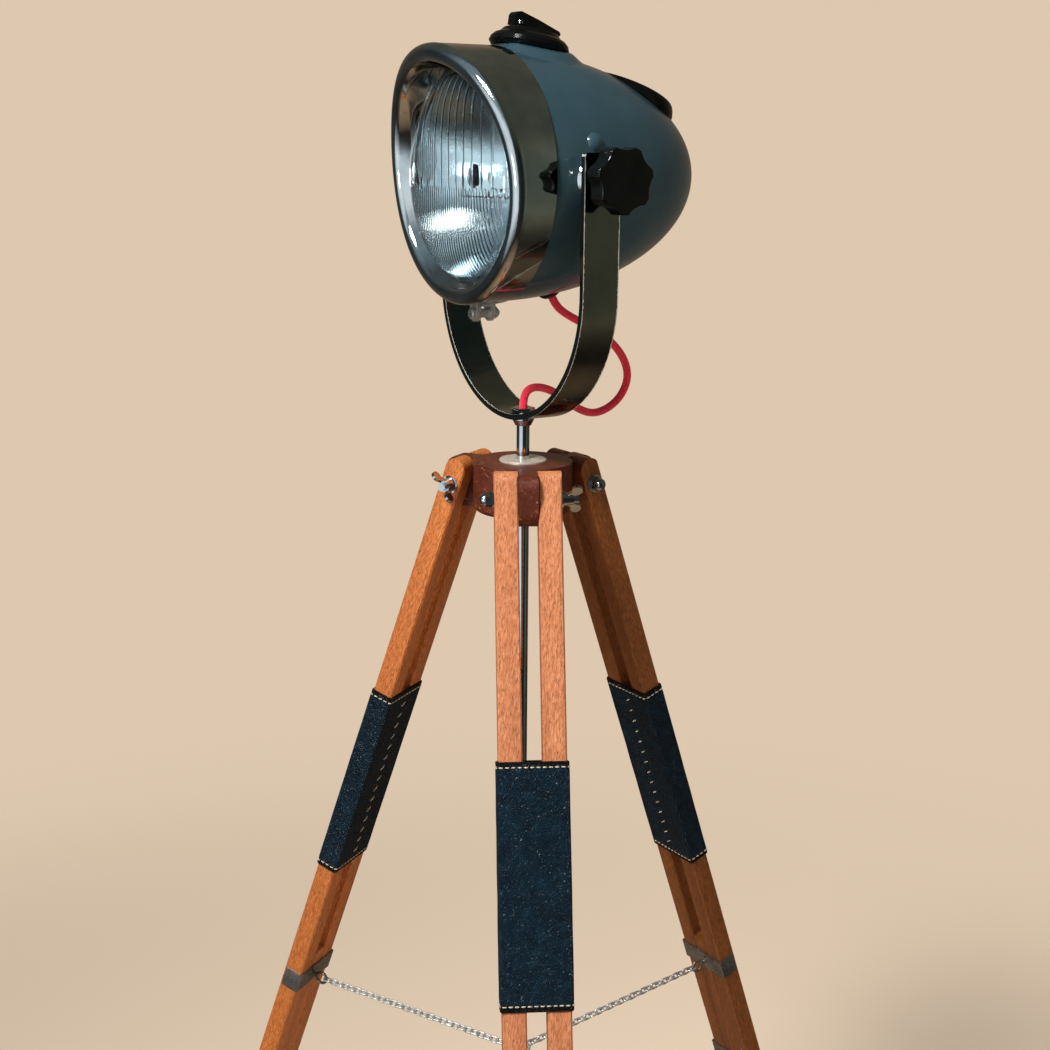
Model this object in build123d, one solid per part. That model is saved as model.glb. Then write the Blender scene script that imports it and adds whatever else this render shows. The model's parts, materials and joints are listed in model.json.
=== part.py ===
"""Tripod floor lamp: a round headlamp on a slotted strap yoke, over a folding wooden tripod.

Millimetres, +Z up. Parts are drawn in the lamp frame: Z is the column's axis and Z = 0 is the
plane of the three leg bolts. export() then moves them so that the feet stand on Z = 0 and the
feet's bounding box is centred on X = Y = 0. Leg 1 points along -Y.
"""
from build123d import *
from math import cos, hypot, pi, radians, sin, sqrt, tan
import os

os.makedirs("parts", exist_ok=True)

# ---------------------------------------------------------------- driving sizes, tripod
LEG_AZIMUTHS = (0, -120, 120)   # direction of each leg, from -Y towards +X, degrees
LEAN = 19.25            # lean of an open leg from the vertical, degrees
BOLT_RADIUS = 50.5      # leg bolts from the column's axis
LEG_LENGTH = 1090       # bolt to floor along a leg's centre line
BAR_WIDTH = 17.5         # each of the two upper bars, along the bolt
BAR_DEPTH = 17          # bars and tongue direction
BAR_GAP = 15            # between the two bars of a leg
BAR_ABOVE = 21          # bar top above its bolt
BAR_BELOW = 640         # bar end below its bolt
BAR_EDGE = 1.2          # small chamfer along the bars
SLIDE_CLEAR = 0.3       # each side of a sliding or hinged wooden face
STOP_CLEAR = 0.3        # between an open leg's top and the hub
LOWER_TOP = 468         # top of the sliding lower bar, below the bolt
FOOT_RADIUS = 13        # rubber foot
FOOT_HEIGHT = 34
FOOT_WALL_UP = 22       # how far the foot reaches up round the bar

SLEEVE_TOP = 192        # leather sleeve, below the bolt
SLEEVE_LENGTH = 177
LEATHER = 1.9

SLEEVE_CORNER = 3

STRAP_THICK = 1.5       # steel bands nailed and clamped to the bars
STRAP_CORNER = 1.2
CHAIN_STRAP_MID = 491.5
CHAIN_STRAP_HEIGHT = 18
CLAMP_MID = 617
CLAMP_HEIGHT = 18
PLATE_WIDTH = 15        # threaded plate under the clamp's wing screw
PLATE_THICK = 4
PLATE_INSET = 2         # plate's ends from the band's edges
NAIL_RADIUS = 2.2
NAIL_HEIGHT = 0.8
NAIL_INSET = 9.5        # nails from the inner edge of the band
EYE_RADIUS = 5          # centre line of the chain's eye
EYE_WIRE = 1.25
EYE_DROP = 2.5          # eye below the middle of its band
EYE_STANDOFF = 1.5      # from the band to the eye's wire
EYE_STEM_RADIUS = 1.6

LINK_WIRE = 0.8         # radius of the chain's wire
LINK_PITCH = 6.0        # aimed at; the real pitch fits a whole even number of links
LINK_WIDTH = 3.4        # inside
LINK_CLEAR = 0.1        # between linked wires
RING_RADIUS = 9         # spreader ring's centre line
RING_WIRE = 1.25
RING_Z = -487           # spreader ring below the bolts

# ---------------------------------------------------------------- hub and column
HUB_TOP = 19.2
HUB_BOTTOM = -20
HUB_FILLET = 6
TONGUE_REACH = 13       # tongue beyond the bolt
TONGUE_ROUND = 11
FLANGE_RADIUS = 18.2
FLANGE_THICK = 1.6
BUSHING_RADIUS = 8
COLUMN_RADIUS = 5
COLUMN_BORE = 3.6
COLUMN_BOTTOM = -250
RUN_CLEAR = 0.08        # radial, shafts that turn or slide in holes
END_BUSH_WALL = 1.2
END_BUSH_HEIGHT = 11
END_BUSH_LIP = 3
BOLT_R = 3              # M6 leg bolts and wing screws
WASHER_RADIUS = 7
WASHER_THICK = 1.3
NUT_RADIUS = 5.8        # over the corners
NUT_HEIGHT = 5
DOME_RADIUS = 4.9       # acorn nut's dome
WING_HUB_RADIUS = 5.6
WING_HUB_HEIGHT = 8
WING_SPAN = 27
WING_RISE = 14
WING_THICK = 2.4
WING_TAPER = 1.2        # wing nut's hub narrows to its top by this
EAR_RADIUS = 4
BOLT_TIP = 4            # bolt's end past its wing nut
CLAMP_SHANK = 9         # wing screw between its band and its wings
LOCK_KNOB_RADIUS = 8
LOCK_KNOB_HEIGHT = 9
LOCK_KNOB_GAP = 3
LOCK_KNOB_GROOVES = 16

# ---------------------------------------------------------------- yoke and head
YOKE_FOOT = 53          # underside of the yoke above the bolts
HEAD_YAW = -152.3       # direction of the lamp's nose from +X, degrees
YOKE_GAP = 5.1          # between the rim and the yoke's arms
YOKE_DROP = 78.7        # tilt axis above the half round's centre
YOKE_WIDTH = 30
YOKE_THICK = 4
ARM_TOP = 18            # arm's end above the tilt axis
ARM_ROUND = 3
CONE_HEIGHT = 6         # nuts that hold the yoke on the column
CONE_RADIUS = 8.5
CONE_LAND = 1.5         # straight edge under the yoke
CONE_WALL = 1.2         # wall at the cone's small end
TOP_NUT_HEIGHT = 3
TOP_NUT_RADIUS = 9
NUT_CLEAR = 0.05        # nuts to the strap that turns between them

SHELL_RADIUS = 90
SHELL_DEPTH = 172       # from the mouth to the tail
SHELL_THICK = 1.3
MOUTH_X = 31            # shell's mouth in front of the tilt axis
RIM_DEPTH = 31.2
RIM_THICK = 1.2
RIM_CLEAR = 0.4         # rim over the shell
RIM_HEM = 2.8           # rolled edge's depth in the radius
RIM_HEM_WIDTH = 2.2
RIM_ROUND = 9           # length of the rim's rounded front
RIM_BEAD = 7.5          # bead's crest in from the rim's outside
RIM_FACE = 12.6         # bead's inner foot in from the rim's outside
RIM_OPENING = 18.4      # lens opening in from the rim's outside
RIM_PEAK = 23.5         # how far the rim's top stands forward of its sides
RIM_PEAK_POWER = 3.2    # how soon the peak falls away round the rim
RIM_PEAK_STEP = 15      # between the sections of the upper half, degrees
LENS_LAP = 4.8          # lens under the rim
LENS_THICK = 3
LENS_CROWN = 12         # crown of the lens above its edge
LENS_SEAT = 19          # back of the lens edge, from the mouth
LENS_EDGE = 0.6         # crown's foot inside the opening
RIM_SEAT_CLEAR = 0.2    # rim's flange to the lens
GASKET_THICK = 2
GASKET_STEP = 1         # gasket outside the opening
REFLECTOR_LIP = 3       # reflector's flange beyond the lens
REFLECTOR_FOCUS = 26
REFLECTOR_THICK = 1
HOLDER_RADIUS = 13
HOLDER_WALL = 2
HOLDER_COLLAR = 3       # collar's step out from the holder's mouth
HOLDER_LENGTH = 24
BULB_SOCKET = 12        # depth of the bulb's base in the holder
BULB_RADIUS = 11
BULB_BASE_RADIUS = 7.5
SHIELD_RADIUS = 9
SHIELD_X = 14           # bulb shield from the mouth
SHIELD_WIRE = 0.8       # radius of its stalk
CLIP_WIDTH = 8
CLIP_THICK = 2
CLIP_ANGLES = (45, 135, 225, 315)

PIVOT_R = 4             # M8 pivot bolts
PIVOT_HEAD_RADIUS = 7
PIVOT_HEAD_HEIGHT = 5
DOME_WASHER_RADIUS = 14.5
DOME_WASHER_TOP = 11
ARM_CLEAR = 0.2         # washers to arms
KNOB_RADIUS = 23
KNOB_LOBES = 7
KNOB_HOLLOW = 2.8       # depth of the hollows between the lobes
KNOB_HOLLOW_RADIUS = 18
KNOB_TIP = 1            # rounding of the lobes' corners
KNOB_THICK = 15
KNOB_EDGE = 1.6
KNOB_REACH = 28.3       # knob's outer face from the arm's
KNOB_COVER = 5          # material over the end of the bolt
KNOB_NECK_RADIUS = 9.5
PLUG_RADIUS = 6.8       # plugs in the shell's flanks, above the pivots
PLUG_HEIGHT = 3.4       # dome above the shell
PLUG_X = -4
PLUG_ANGLE = 16.5       # round the shell from the pivots, degrees

SWITCH_X = -2.5         # middle of the switch's widest circle, from the tilt axis
SWITCH_UP = 2.3         # that circle's middle above the mouth's top
SWITCH_TILT = 10        # switch's axis leans back, degrees
SWITCH_RADIUS = 29.5
SWITCH_NECK = 25        # its skirt, set into the shell
SWITCH_SINK = 17        # end of the skirt below the widest circle
SWITCH_CROWN = 12       # top above the widest circle
FIT_CLEAR = 0.3         # round pieces set into holes of the shell
LEVER_LIFT = 0.4
LEVER_FRONT = 17.5      # lever's ends, from the switch's axis
LEVER_REAR = 23.5
LEVER_PEAK = 21.3       # above the widest circle
LEVER_WIDTH = 10        # at its front
LEVER_TAIL = 6          # width at its rear

INSTRUMENT_X = -87      # centre of the bezel's top, from the tilt axis
INSTRUMENT_STAND = -3   # that centre above the shell's outline
INSTRUMENT_TILT = 22.3
BEZEL_RADIUS = 41.5
BEZEL_HEIGHT = 15
BEZEL_LIP = 4           # from its outside to the glass
BEZEL_DROP = 7          # its outside's top edge below the lip
BEZEL_TAPER = 3         # the lip in from the outside
CASE_RADIUS = 38.5
CASE_DEPTH = 42
CASE_EDGE = 4
CASE_WALL = 3
GLASS_THICK = 2
GLASS_DROP = 2.5        # glass below the bezel's top
DIAL_DROP = 6           # dial below the glass
DIAL_THICK = 1.5
NEEDLE_LENGTH = 26
NEEDLE_TAIL = 8
NEEDLE_THICK = 0.8
NEEDLE_LIFT = 2         # needle above the dial
NEEDLE_ANGLE = 120
SPINDLE_RADIUS = 1.1
SPINDLE_CAP = 4

CLAMP_X = 36            # rim clamp, from the tilt axis
CLAMP_DROP = 6.9        # clamp's screw below the rim
LUG_THICK = 3
LUG_GAP = 9
LUG_RADIUS = 6
BRIDGE_THICK = 1.6      # strip that joins the lugs
CLAMP_SCREW_R = 2
CLAMP_HEAD_RADIUS = 4.2
CLAMP_HEAD_HEIGHT = 3.2
CLAMP_NUT_RADIUS = 4.4
CLAMP_NUT_HEIGHT = 4
SPACER_RADIUS = 3.4

GLAND_X = -23
GLAND_RADIUS = 8.7
GLAND_OUT = 2.4         # gland below the shell
GLAND_IN = 8            # gland inside the shell
GLAND_WALL = 2.2
GLAND_LEAN = 26         # gland's axis from the vertical, degrees
GLAND_RUN = 9           # cord's first run, straight out of the gland

# ---------------------------------------------------------------- cords
CORD_RADIUS = 3.1
# Loop from the head's gland to the yoke's foot, from the tilt axis: forward, towards the right
# knob, and up. The gland's mouth comes before these points and the column's top after them.
LOOP_ROUTE = (
    (-38, 0.4, -103.2), (-57, 1.5, -112.5), (-75, 2.5, -122.5), (-91, 2, -138), (-98, 0.5, -154.5),
    (-93.5, -1.5, -169.5), (-81.5, -2.5, -179.5), (-65.5, -2, -183), (-49, -1, -176.5),
    (-34, 0, -165.5), (-19, 0.5, -158), (-6.5, 0.3, -156.8), (0, 0, -163),
)
# Lead from the column's foot: from the column's axis, and above the floor.
LEAD_ROUTE = (
    (0, 0, 705), (1.2, 0.6, 622), (-0.6, 1.4, 540), (1.8, -0.8, 455), (2.8, 0.6, 368),
    (2.2, 2.8, 283), (4.5, 3, 200), (4, 7.5, 128), (7, 17, 76), (13, 38, 37), (24, 70, 11),
    (42, 107, 3.3), (45, 148, 3.3), (27, 190, 3.3), (6, 230, 3.3), (9, 264, 3.3), (27, 287.3, 3.3),
)
LEAD_END = (53.3, 296.9)        # where the lead runs into the coil
COIL_CENTRE = (66, 262)         # from the column's axis
COIL_RADIUS = 34                # middle of the turns
COIL_WIDTH = 13.2
COIL_HEIGHT = 19.4
TAIL_START = (78.7, 296.9, 3.3)     # leaves the coil
TAIL_ROUTE = ((105, 283, 3.3), (124, 256, 3.3), (131, 226, 6.5), (130, 200, 14.5), (130, 186, 17.2))
PLUG_END = (130, 168, 17.2)     # cord enters the plug, pointing along -Y
PLUG_NECK = 26
PLUG_BODY = 34
PLUG_BODY_RADIUS = 17
PIN_LENGTH = 19
PIN_RADIUS = 2.4
PIN_SPACING = 19

# ---------------------------------------------------------------- placing
BOLT_HEIGHT = LEG_LENGTH * cos(radians(LEAN))
FOOT_REACH = BOLT_RADIUS + LEG_LENGTH * sin(radians(LEAN))
SOLE_LONG = FOOT_RADIUS / cos(radians(LEAN))
FRONT_REACH = FOOT_REACH + SOLE_LONG
BACK_REACH = FOOT_REACH / 2 + hypot(SOLE_LONG / 2, FOOT_RADIUS * sqrt(3) / 2)
AXIS_Y = (FRONT_REACH - BACK_REACH) / 2
ROW_PLACE = Pos(0, AXIS_Y, BOLT_HEIGHT)
BAR_MID = (BAR_GAP + BAR_WIDTH) / 2
LEG_HALF = BAR_GAP / 2 + BAR_WIDTH
TONGUE_WIDTH = BAR_GAP - 2 * SLIDE_CLEAR
LOWER_DEPTH = BAR_DEPTH - 2 * SLIDE_CLEAR
RIM_RADIUS = SHELL_RADIUS + RIM_CLEAR + RIM_THICK
LENS_VIEW = RIM_RADIUS - RIM_OPENING
LENS_RADIUS = LENS_VIEW + LENS_LAP
YOKE_RADIUS = RIM_RADIUS + YOKE_GAP + YOKE_THICK
PIVOT_Z = YOKE_FOOT + YOKE_RADIUS + YOKE_DROP
KNOB_OUTER = YOKE_RADIUS + KNOB_REACH
HEAD_PLACE = Pos(0, 0, PIVOT_Z) * Rot(0, 0, HEAD_YAW)
ARM_INNER = RIM_RADIUS + YOKE_GAP
NUT_SEAT = PIVOT_Z - YOKE_DROP - sqrt(ARM_INNER ** 2 - TOP_NUT_RADIUS ** 2) + NUT_CLEAR
COLUMN_TOP = NUT_SEAT + TOP_NUT_HEIGHT


def export(name, *pieces):
    """One node: every solid of the pieces, moved from the lamp frame to the row's frame."""
    solids = [solid for piece in pieces for solid in piece.solids()]
    body = solids[0] if len(solids) == 1 else Compound(solids)
    export_step(ROW_PLACE * body, f"parts/{name}.step")


def turned(*points):
    """Solid of revolution about Z from its (radius, height) outline."""
    return revolve(Plane.XZ * make_face(Polyline(*points, close=True)), Axis.Z)


def tube(outer, inner, low, high):
    return turned((inner, low), (outer, low), (outer, high), (inner, high))


def rod(radius, low, high):
    return Pos(0, 0, low) * Cylinder(radius, high - low, align=(Align.CENTER, Align.CENTER, Align.MIN))


def along_x(part):
    """Turns +Z to +X."""
    return Rot(0, 90, 0) * part


def along_y(part):
    """Turns +Z to +Y."""
    return Rot(-90, 0, 0) * part


def on_leg(azimuth, part):
    """From a leg's own frame (X along its bolt, +Y inward, +Z up the leg) to the lamp frame."""
    return Rot(0, 0, azimuth) * Pos(0, -BOLT_RADIUS, 0) * Rot(-LEAN, 0, 0) * part


def at_bolt(azimuth, part):
    """Same place as on_leg, but upright: what stays on the hub."""
    return Rot(0, 0, azimuth) * Pos(0, -BOLT_RADIUS, 0) * part


# ---------------------------------------------------------------- fasteners
def hex_prism(corner_radius, height):
    return extrude(RegularPolygon(corner_radius, 6), height)


def wings():
    """Two ears of a wing nut or wing screw, in the XZ plane, over a hub that stands on Z = 0."""
    tip = WING_SPAN / 2 - EAR_RADIUS
    right = [(WING_HUB_RADIUS * 0.7, 0.8), (tip + EAR_RADIUS * 0.7, WING_RISE - EAR_RADIUS * 0.6),
             (tip - EAR_RADIUS * 0.6, WING_RISE - EAR_RADIUS * 0.2),
             (WING_HUB_RADIUS * 0.6, WING_HUB_HEIGHT - 1)]
    left = [(-x, z) for x, z in reversed(right)]
    ears = make_face(Polyline(*right, *left, close=True))
    for side in (-1, 1):
        ears += Pos(side * tip, WING_RISE - EAR_RADIUS) * Circle(EAR_RADIUS)
    return extrude(Plane.XZ * ears, WING_THICK / 2, both=True)


def wing_nut():
    hub = turned((0, 0), (WING_HUB_RADIUS, 0), (WING_HUB_RADIUS - WING_TAPER, WING_HUB_HEIGHT),
                 (0, WING_HUB_HEIGHT))
    return hub + wings() - rod(BOLT_R + RUN_CLEAR, -1, WING_RISE + 1)


def acorn_nut():
    ball = Pos(0, 0, NUT_HEIGHT) * Sphere(DOME_RADIUS)
    dome = ball & rod(DOME_RADIUS, NUT_HEIGHT - 1, NUT_HEIGHT + DOME_RADIUS)
    return hex_prism(NUT_RADIUS, NUT_HEIGHT) + dome - rod(BOLT_R, -1, NUT_HEIGHT)


# ---------------------------------------------------------------- hub
def bar_top_contact():
    """How far the rounded top of an open bar reaches from the column's axis, along its leg."""
    round_centre = BAR_ABOVE - BAR_DEPTH / 2
    return BOLT_RADIUS - round_centre * sin(radians(LEAN)) - BAR_DEPTH / 2


HUB_RADIUS = hypot(bar_top_contact(), BAR_GAP / 2) - STOP_CLEAR
LOCK_Z = (HUB_TOP + HUB_BOTTOM) / 2


def hub():
    core = fillet(rod(HUB_RADIUS, HUB_BOTTOM, HUB_TOP).edges().group_by(Axis.Z)[0], HUB_FILLET)
    height = HUB_TOP - HUB_BOTTOM
    reach = BOLT_RADIUS + TONGUE_REACH
    tongue = Pos(0, -reach / 2, LOCK_Z) * Box(TONGUE_WIDTH, reach, height)
    ends = [edge for edge in tongue.edges().filter_by(Axis.X) if edge.center().Y < -reach / 2]
    tongue = fillet(ends, TONGUE_ROUND)
    for azimuth in LEG_AZIMUTHS:
        core += Rot(0, 0, azimuth) * tongue
    core -= rod(BUSHING_RADIUS, HUB_BOTTOM - 1, HUB_TOP + 1)
    for azimuth in LEG_AZIMUTHS:
        core -= at_bolt(azimuth, along_x(rod(BOLT_R, -TONGUE_WIDTH, TONGUE_WIDTH)))
    core -= Pos(0, 0, LOCK_Z) * along_y(rod(BOLT_R + RUN_CLEAR, 0, HUB_RADIUS + 1))
    export("hub", core)


def hub_bushing():
    top = HUB_TOP + FLANGE_THICK
    bore = COLUMN_RADIUS + RUN_CLEAR
    bushing = turned((bore, HUB_BOTTOM), (BUSHING_RADIUS, HUB_BOTTOM), (BUSHING_RADIUS, HUB_TOP),
                     (FLANGE_RADIUS, HUB_TOP), (FLANGE_RADIUS, top - 0.6), (FLANGE_RADIUS - 0.6, top),
                     (bore, top))
    bushing -= Pos(0, 0, LOCK_Z) * along_y(rod(BOLT_R + RUN_CLEAR, 0, BUSHING_RADIUS + 1))
    export("hub_bushing", bushing)


def column_lock_screw():
    start = HUB_RADIUS + LOCK_KNOB_GAP
    screw = rod(BOLT_R, COLUMN_RADIUS + RUN_CLEAR, start)
    knob = rod(LOCK_KNOB_RADIUS, start, start + LOCK_KNOB_HEIGHT)
    knob = chamfer(knob.edges().filter_by(GeomType.CIRCLE), 0.8)
    groove = Pos(LOCK_KNOB_RADIUS + 0.4, 0, start + LOCK_KNOB_HEIGHT / 2) * Box(1.6, 1, LOCK_KNOB_HEIGHT - 2)
    for step in range(LOCK_KNOB_GROOVES):
        knob -= Rot(0, 0, step * 360 / LOCK_KNOB_GROOVES) * groove
    export("column_lock_screw", Pos(0, 0, LOCK_Z) * along_y(screw + knob))


def leg_bolts():
    """Three bolts across the hub's tongues, each with two washers and an acorn nut."""
    pieces = []
    grip = LEG_HALF + WASHER_THICK
    bolt = rod(BOLT_R, -grip - NUT_HEIGHT, grip + WING_HUB_HEIGHT + BOLT_TIP)
    washer = tube(WASHER_RADIUS, BOLT_R, LEG_HALF, grip)
    for azimuth in LEG_AZIMUTHS:
        pieces.append(at_bolt(azimuth, along_x(bolt)))
        pieces.append(at_bolt(azimuth, along_x(washer)))
        pieces.append(at_bolt(azimuth, along_x(Rot(180, 0, 0) * washer)))
        pieces.append(at_bolt(azimuth, along_x(Pos(0, 0, -grip) * Rot(180, 0, 0) * acorn_nut())))
    export("leg_bolts", *pieces)


# ---------------------------------------------------------------- legs
def leg_bars():
    bar = Pos(0, 0, (BAR_ABOVE - BAR_BELOW) / 2) * Box(BAR_WIDTH, BAR_DEPTH, BAR_ABOVE + BAR_BELOW)
    bar = chamfer(bar.edges().filter_by(Axis.Z), BAR_EDGE)
    end = BAR_ABOVE - BAR_DEPTH / 2
    blank = Pos(0, 0, BAR_ABOVE) * Box(BAR_WIDTH + 2, BAR_DEPTH + 2, BAR_DEPTH)
    bar -= blank - Pos(0, 0, end) * along_x(Cylinder(BAR_DEPTH / 2, BAR_WIDTH))
    bar -= along_x(Cylinder(BOLT_R + RUN_CLEAR, BAR_WIDTH + 2))
    return [Pos(side * BAR_MID, 0, 0) * bar for side in (-1, 1)]


def sleeve():
    low = -SLEEVE_TOP - SLEEVE_LENGTH
    outer = Box(2 * (LEG_HALF + LEATHER), BAR_DEPTH + 2 * LEATHER, SLEEVE_LENGTH)
    outer = fillet(outer.edges().filter_by(Axis.Z), SLEEVE_CORNER)
    inner = Box(2 * LEG_HALF, BAR_DEPTH, SLEEVE_LENGTH + 2)
    return Pos(0, 0, low + SLEEVE_LENGTH / 2) * (outer - inner)


def band(mid, height, closed):
    """Steel band round the two bars; an open one leaves their outer faces free."""
    outer = Box(2 * (LEG_HALF + STRAP_THICK), BAR_DEPTH + 2 * STRAP_THICK, height)
    outer = fillet(outer.edges().filter_by(Axis.Z), STRAP_CORNER)
    outer -= Box(2 * LEG_HALF, BAR_DEPTH, height + 2)
    if not closed:
        opening = Box(4 * LEG_HALF, STRAP_THICK + 2, height + 2)
        outer -= Pos(0, -BAR_DEPTH / 2 - STRAP_THICK / 2 + 1, 0) * opening
    return Pos(0, 0, -mid) * outer


def eye_centre():
    """The chain's eye in the leg's frame: (inward, up)."""
    return BAR_DEPTH / 2 + STRAP_THICK + EYE_STANDOFF + EYE_WIRE + EYE_RADIUS, -CHAIN_STRAP_MID - EYE_DROP


def straps():
    """Chain band with its eye and nails, and the clamp band with its screw plate."""
    inward, up = eye_centre()
    face = BAR_DEPTH / 2 + STRAP_THICK
    chain_band = band(CHAIN_STRAP_MID, CHAIN_STRAP_HEIGHT, False)
    stem = Pos(0, 0, up) * along_y(
        rod(EYE_STEM_RADIUS, face - STRAP_THICK / 2, face + EYE_STANDOFF + EYE_WIRE))
    eye = Pos(0, inward, up) * Rot(0, 90, 0) * Torus(EYE_RADIUS, EYE_WIRE)
    chain_band += stem + eye
    nails = []
    for mid in (CHAIN_STRAP_MID, CLAMP_MID):
        for side in (-1, 1):
            at = Pos(0, face - NAIL_INSET, -mid) * Rot(0, side * 90, 0)
            nails.append(at * rod(NAIL_RADIUS, LEG_HALF + STRAP_THICK, LEG_HALF + STRAP_THICK + NAIL_HEIGHT))
    clamp_band = band(CLAMP_MID, CLAMP_HEIGHT, True)
    plate = Box(PLATE_WIDTH, PLATE_THICK, CLAMP_HEIGHT - 2 * PLATE_INSET)
    clamp_band += Pos(0, face + PLATE_THICK / 2, -CLAMP_MID) * plate
    clamp_band -= Pos(0, 0, -CLAMP_MID) * along_y(rod(BOLT_R + RUN_CLEAR, 0, face + 2 * PLATE_THICK))
    return [chain_band, clamp_band, *nails]


def clamp_wing():
    """Wing screw that presses on the lower bar, its wings along the leg."""
    start = BAR_DEPTH / 2 + STRAP_THICK + PLATE_THICK + CLAMP_SHANK
    screw = rod(BOLT_R, LOWER_DEPTH / 2 + 0.1, start + 1)
    head = Pos(0, 0, start) * Rot(0, 0, 90) * (wings() + turned(
        (0, 0), (WING_HUB_RADIUS, 0), (WING_HUB_RADIUS - WING_TAPER, WING_HUB_HEIGHT), (0, WING_HUB_HEIGHT)))
    return Pos(0, 0, -CLAMP_MID) * along_y(screw + head)


def floor_cut():
    """Everything below the floor, in the leg's own frame."""
    size = 10 * FOOT_HEIGHT
    return Pos(0, 0, -LEG_LENGTH) * Rot(LEAN, 0, 0) * Pos(0, 0, -size / 2) * Box(size, size, size)


def lower_bar():
    low = -LEG_LENGTH + FOOT_HEIGHT - FOOT_WALL_UP
    bar = Pos(0, 0, (low - LOWER_TOP) / 2) * Box(TONGUE_WIDTH, LOWER_DEPTH, -LOWER_TOP - low)
    bar = chamfer(bar.edges().filter_by(Axis.Z), 0.8)
    return chamfer(bar.edges().group_by(Axis.Z)[-1], 0.6)


def foot():
    top = -LEG_LENGTH + FOOT_HEIGHT
    block = rod(FOOT_RADIUS, -LEG_LENGTH - FOOT_RADIUS, top)
    block = fillet(block.edges().group_by(Axis.Z)[-1], 3)
    pocket = Pos(0, 0, top - FOOT_WALL_UP + 20) * Box(TONGUE_WIDTH, LOWER_DEPTH, 40)
    return block - pocket - floor_cut()


# ---------------------------------------------------------------- chains
def chain_link(pitch):
    inner = pitch + 2 * LINK_CLEAR
    half = (inner - LINK_WIDTH) / 2
    side = LINK_WIDTH / 2 + LINK_WIRE
    run = Line((-half, side), (half, side))
    turn = CenterArc((half, 0), side, 90, -180)
    back = Line((half, -side), (-half, -side))
    close = CenterArc((-half, 0), side, -90, -180)
    path = Wire([run, turn, back, close])
    return sweep(Plane(origin=(0, side, 0), z_dir=(1, 0, 0)) * Circle(LINK_WIRE), path)


def chain():
    """Links from a leg's eye to the spreader ring, for leg 1, in the lamp frame."""
    inward, up = eye_centre()
    eye = on_leg(0, Pos(0, inward, up)).position
    goal = Vector(0, -RING_RADIUS, RING_Z)
    way = (goal - eye).normalized()
    start_gap = EYE_RADIUS - EYE_WIRE
    span = (goal - eye).length + RING_WIRE - start_gap
    count = 2 * round(span / LINK_PITCH / 2)
    pitch = span / count
    first = start_gap + pitch / 2
    link = chain_link(pitch)
    start = Plane(origin=eye, x_dir=way, z_dir=Vector(1, 0, 0).cross(way))
    places = [start.location * Pos(first + i * pitch, 0, 0) * Rot(90 * (i % 2), 0, 0) for i in range(count)]
    return [place * link for place in places]


# ---------------------------------------------------------------- column
def column():
    export("column_tube", tube(COLUMN_RADIUS, COLUMN_BORE, COLUMN_BOTTOM, COLUMN_TOP))
    outer = COLUMN_RADIUS + END_BUSH_WALL
    low = COLUMN_BOTTOM - END_BUSH_LIP
    high = low + END_BUSH_HEIGHT
    export("tube_end_bush", turned(
        (COLUMN_BORE, low), (outer - 0.8, low), (outer, low + 0.8), (outer, high), (COLUMN_RADIUS, high),
        (COLUMN_RADIUS, COLUMN_BOTTOM), (COLUMN_BORE, COLUMN_BOTTOM)))
    cone = turned((COLUMN_RADIUS, -CONE_HEIGHT), (COLUMN_RADIUS + CONE_WALL, -CONE_HEIGHT),
                  (CONE_RADIUS, -CONE_LAND), (CONE_RADIUS, 0), (COLUMN_RADIUS, 0))
    top_nut = hex_prism(TOP_NUT_RADIUS, TOP_NUT_HEIGHT) - rod(COLUMN_RADIUS, -1, TOP_NUT_HEIGHT + 1)
    export("yoke_nuts", Pos(0, 0, YOKE_FOOT - NUT_CLEAR) * cone, Pos(0, 0, NUT_SEAT) * top_nut)
    export("cord_in_tube", rod(CORD_RADIUS, COLUMN_BOTTOM - END_BUSH_LIP, COLUMN_TOP))


def yoke():
    """Flat strap bent to a half round with straight arms, in the head's frame."""
    outline = make_face(Wire([
        Line((-YOKE_RADIUS, ARM_TOP), (-YOKE_RADIUS, -YOKE_DROP)),
        CenterArc((0, -YOKE_DROP), YOKE_RADIUS, 180, 180),
        Line((YOKE_RADIUS, -YOKE_DROP), (YOKE_RADIUS, ARM_TOP)),
        Line((YOKE_RADIUS, ARM_TOP), (ARM_INNER, ARM_TOP)),
        Line((ARM_INNER, ARM_TOP), (ARM_INNER, -YOKE_DROP)),
        CenterArc((0, -YOKE_DROP), ARM_INNER, 0, -180),
        Line((-ARM_INNER, -YOKE_DROP), (-ARM_INNER, ARM_TOP)),
        Line((-ARM_INNER, ARM_TOP), (-YOKE_RADIUS, ARM_TOP))]))
    strap = extrude(Plane.YZ * outline, YOKE_WIDTH / 2, both=True)
    corners = [edge for edge in strap.edges().filter_by(Axis.Y) if edge.center().Z > 0]
    strap = fillet(corners, ARM_ROUND)
    strap -= along_y(Cylinder(PIVOT_R + RUN_CLEAR, 3 * YOKE_RADIUS))
    strap -= rod(COLUMN_RADIUS + RUN_CLEAR, -2 * YOKE_RADIUS, 0)
    export("yoke", HEAD_PLACE * strap)


# ---------------------------------------------------------------- headlamp
def shell_radius(x):
    """Outside radius of the shell at x, from the tilt axis."""
    return SHELL_RADIUS * sqrt(1 - ((MOUTH_X - x) / SHELL_DEPTH) ** 2)


def ellipsoid(depth, radius):
    """Half ellipsoid behind the shell's mouth."""
    face = make_face(Wire([EllipticalCenterArc((MOUTH_X, 0), depth, radius, 90, arc_size=90),
                           Line((MOUTH_X - depth, 0), (MOUTH_X, 0)), Line((MOUTH_X, 0), (MOUTH_X, radius))]))
    return revolve(face, Axis.X)


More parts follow.
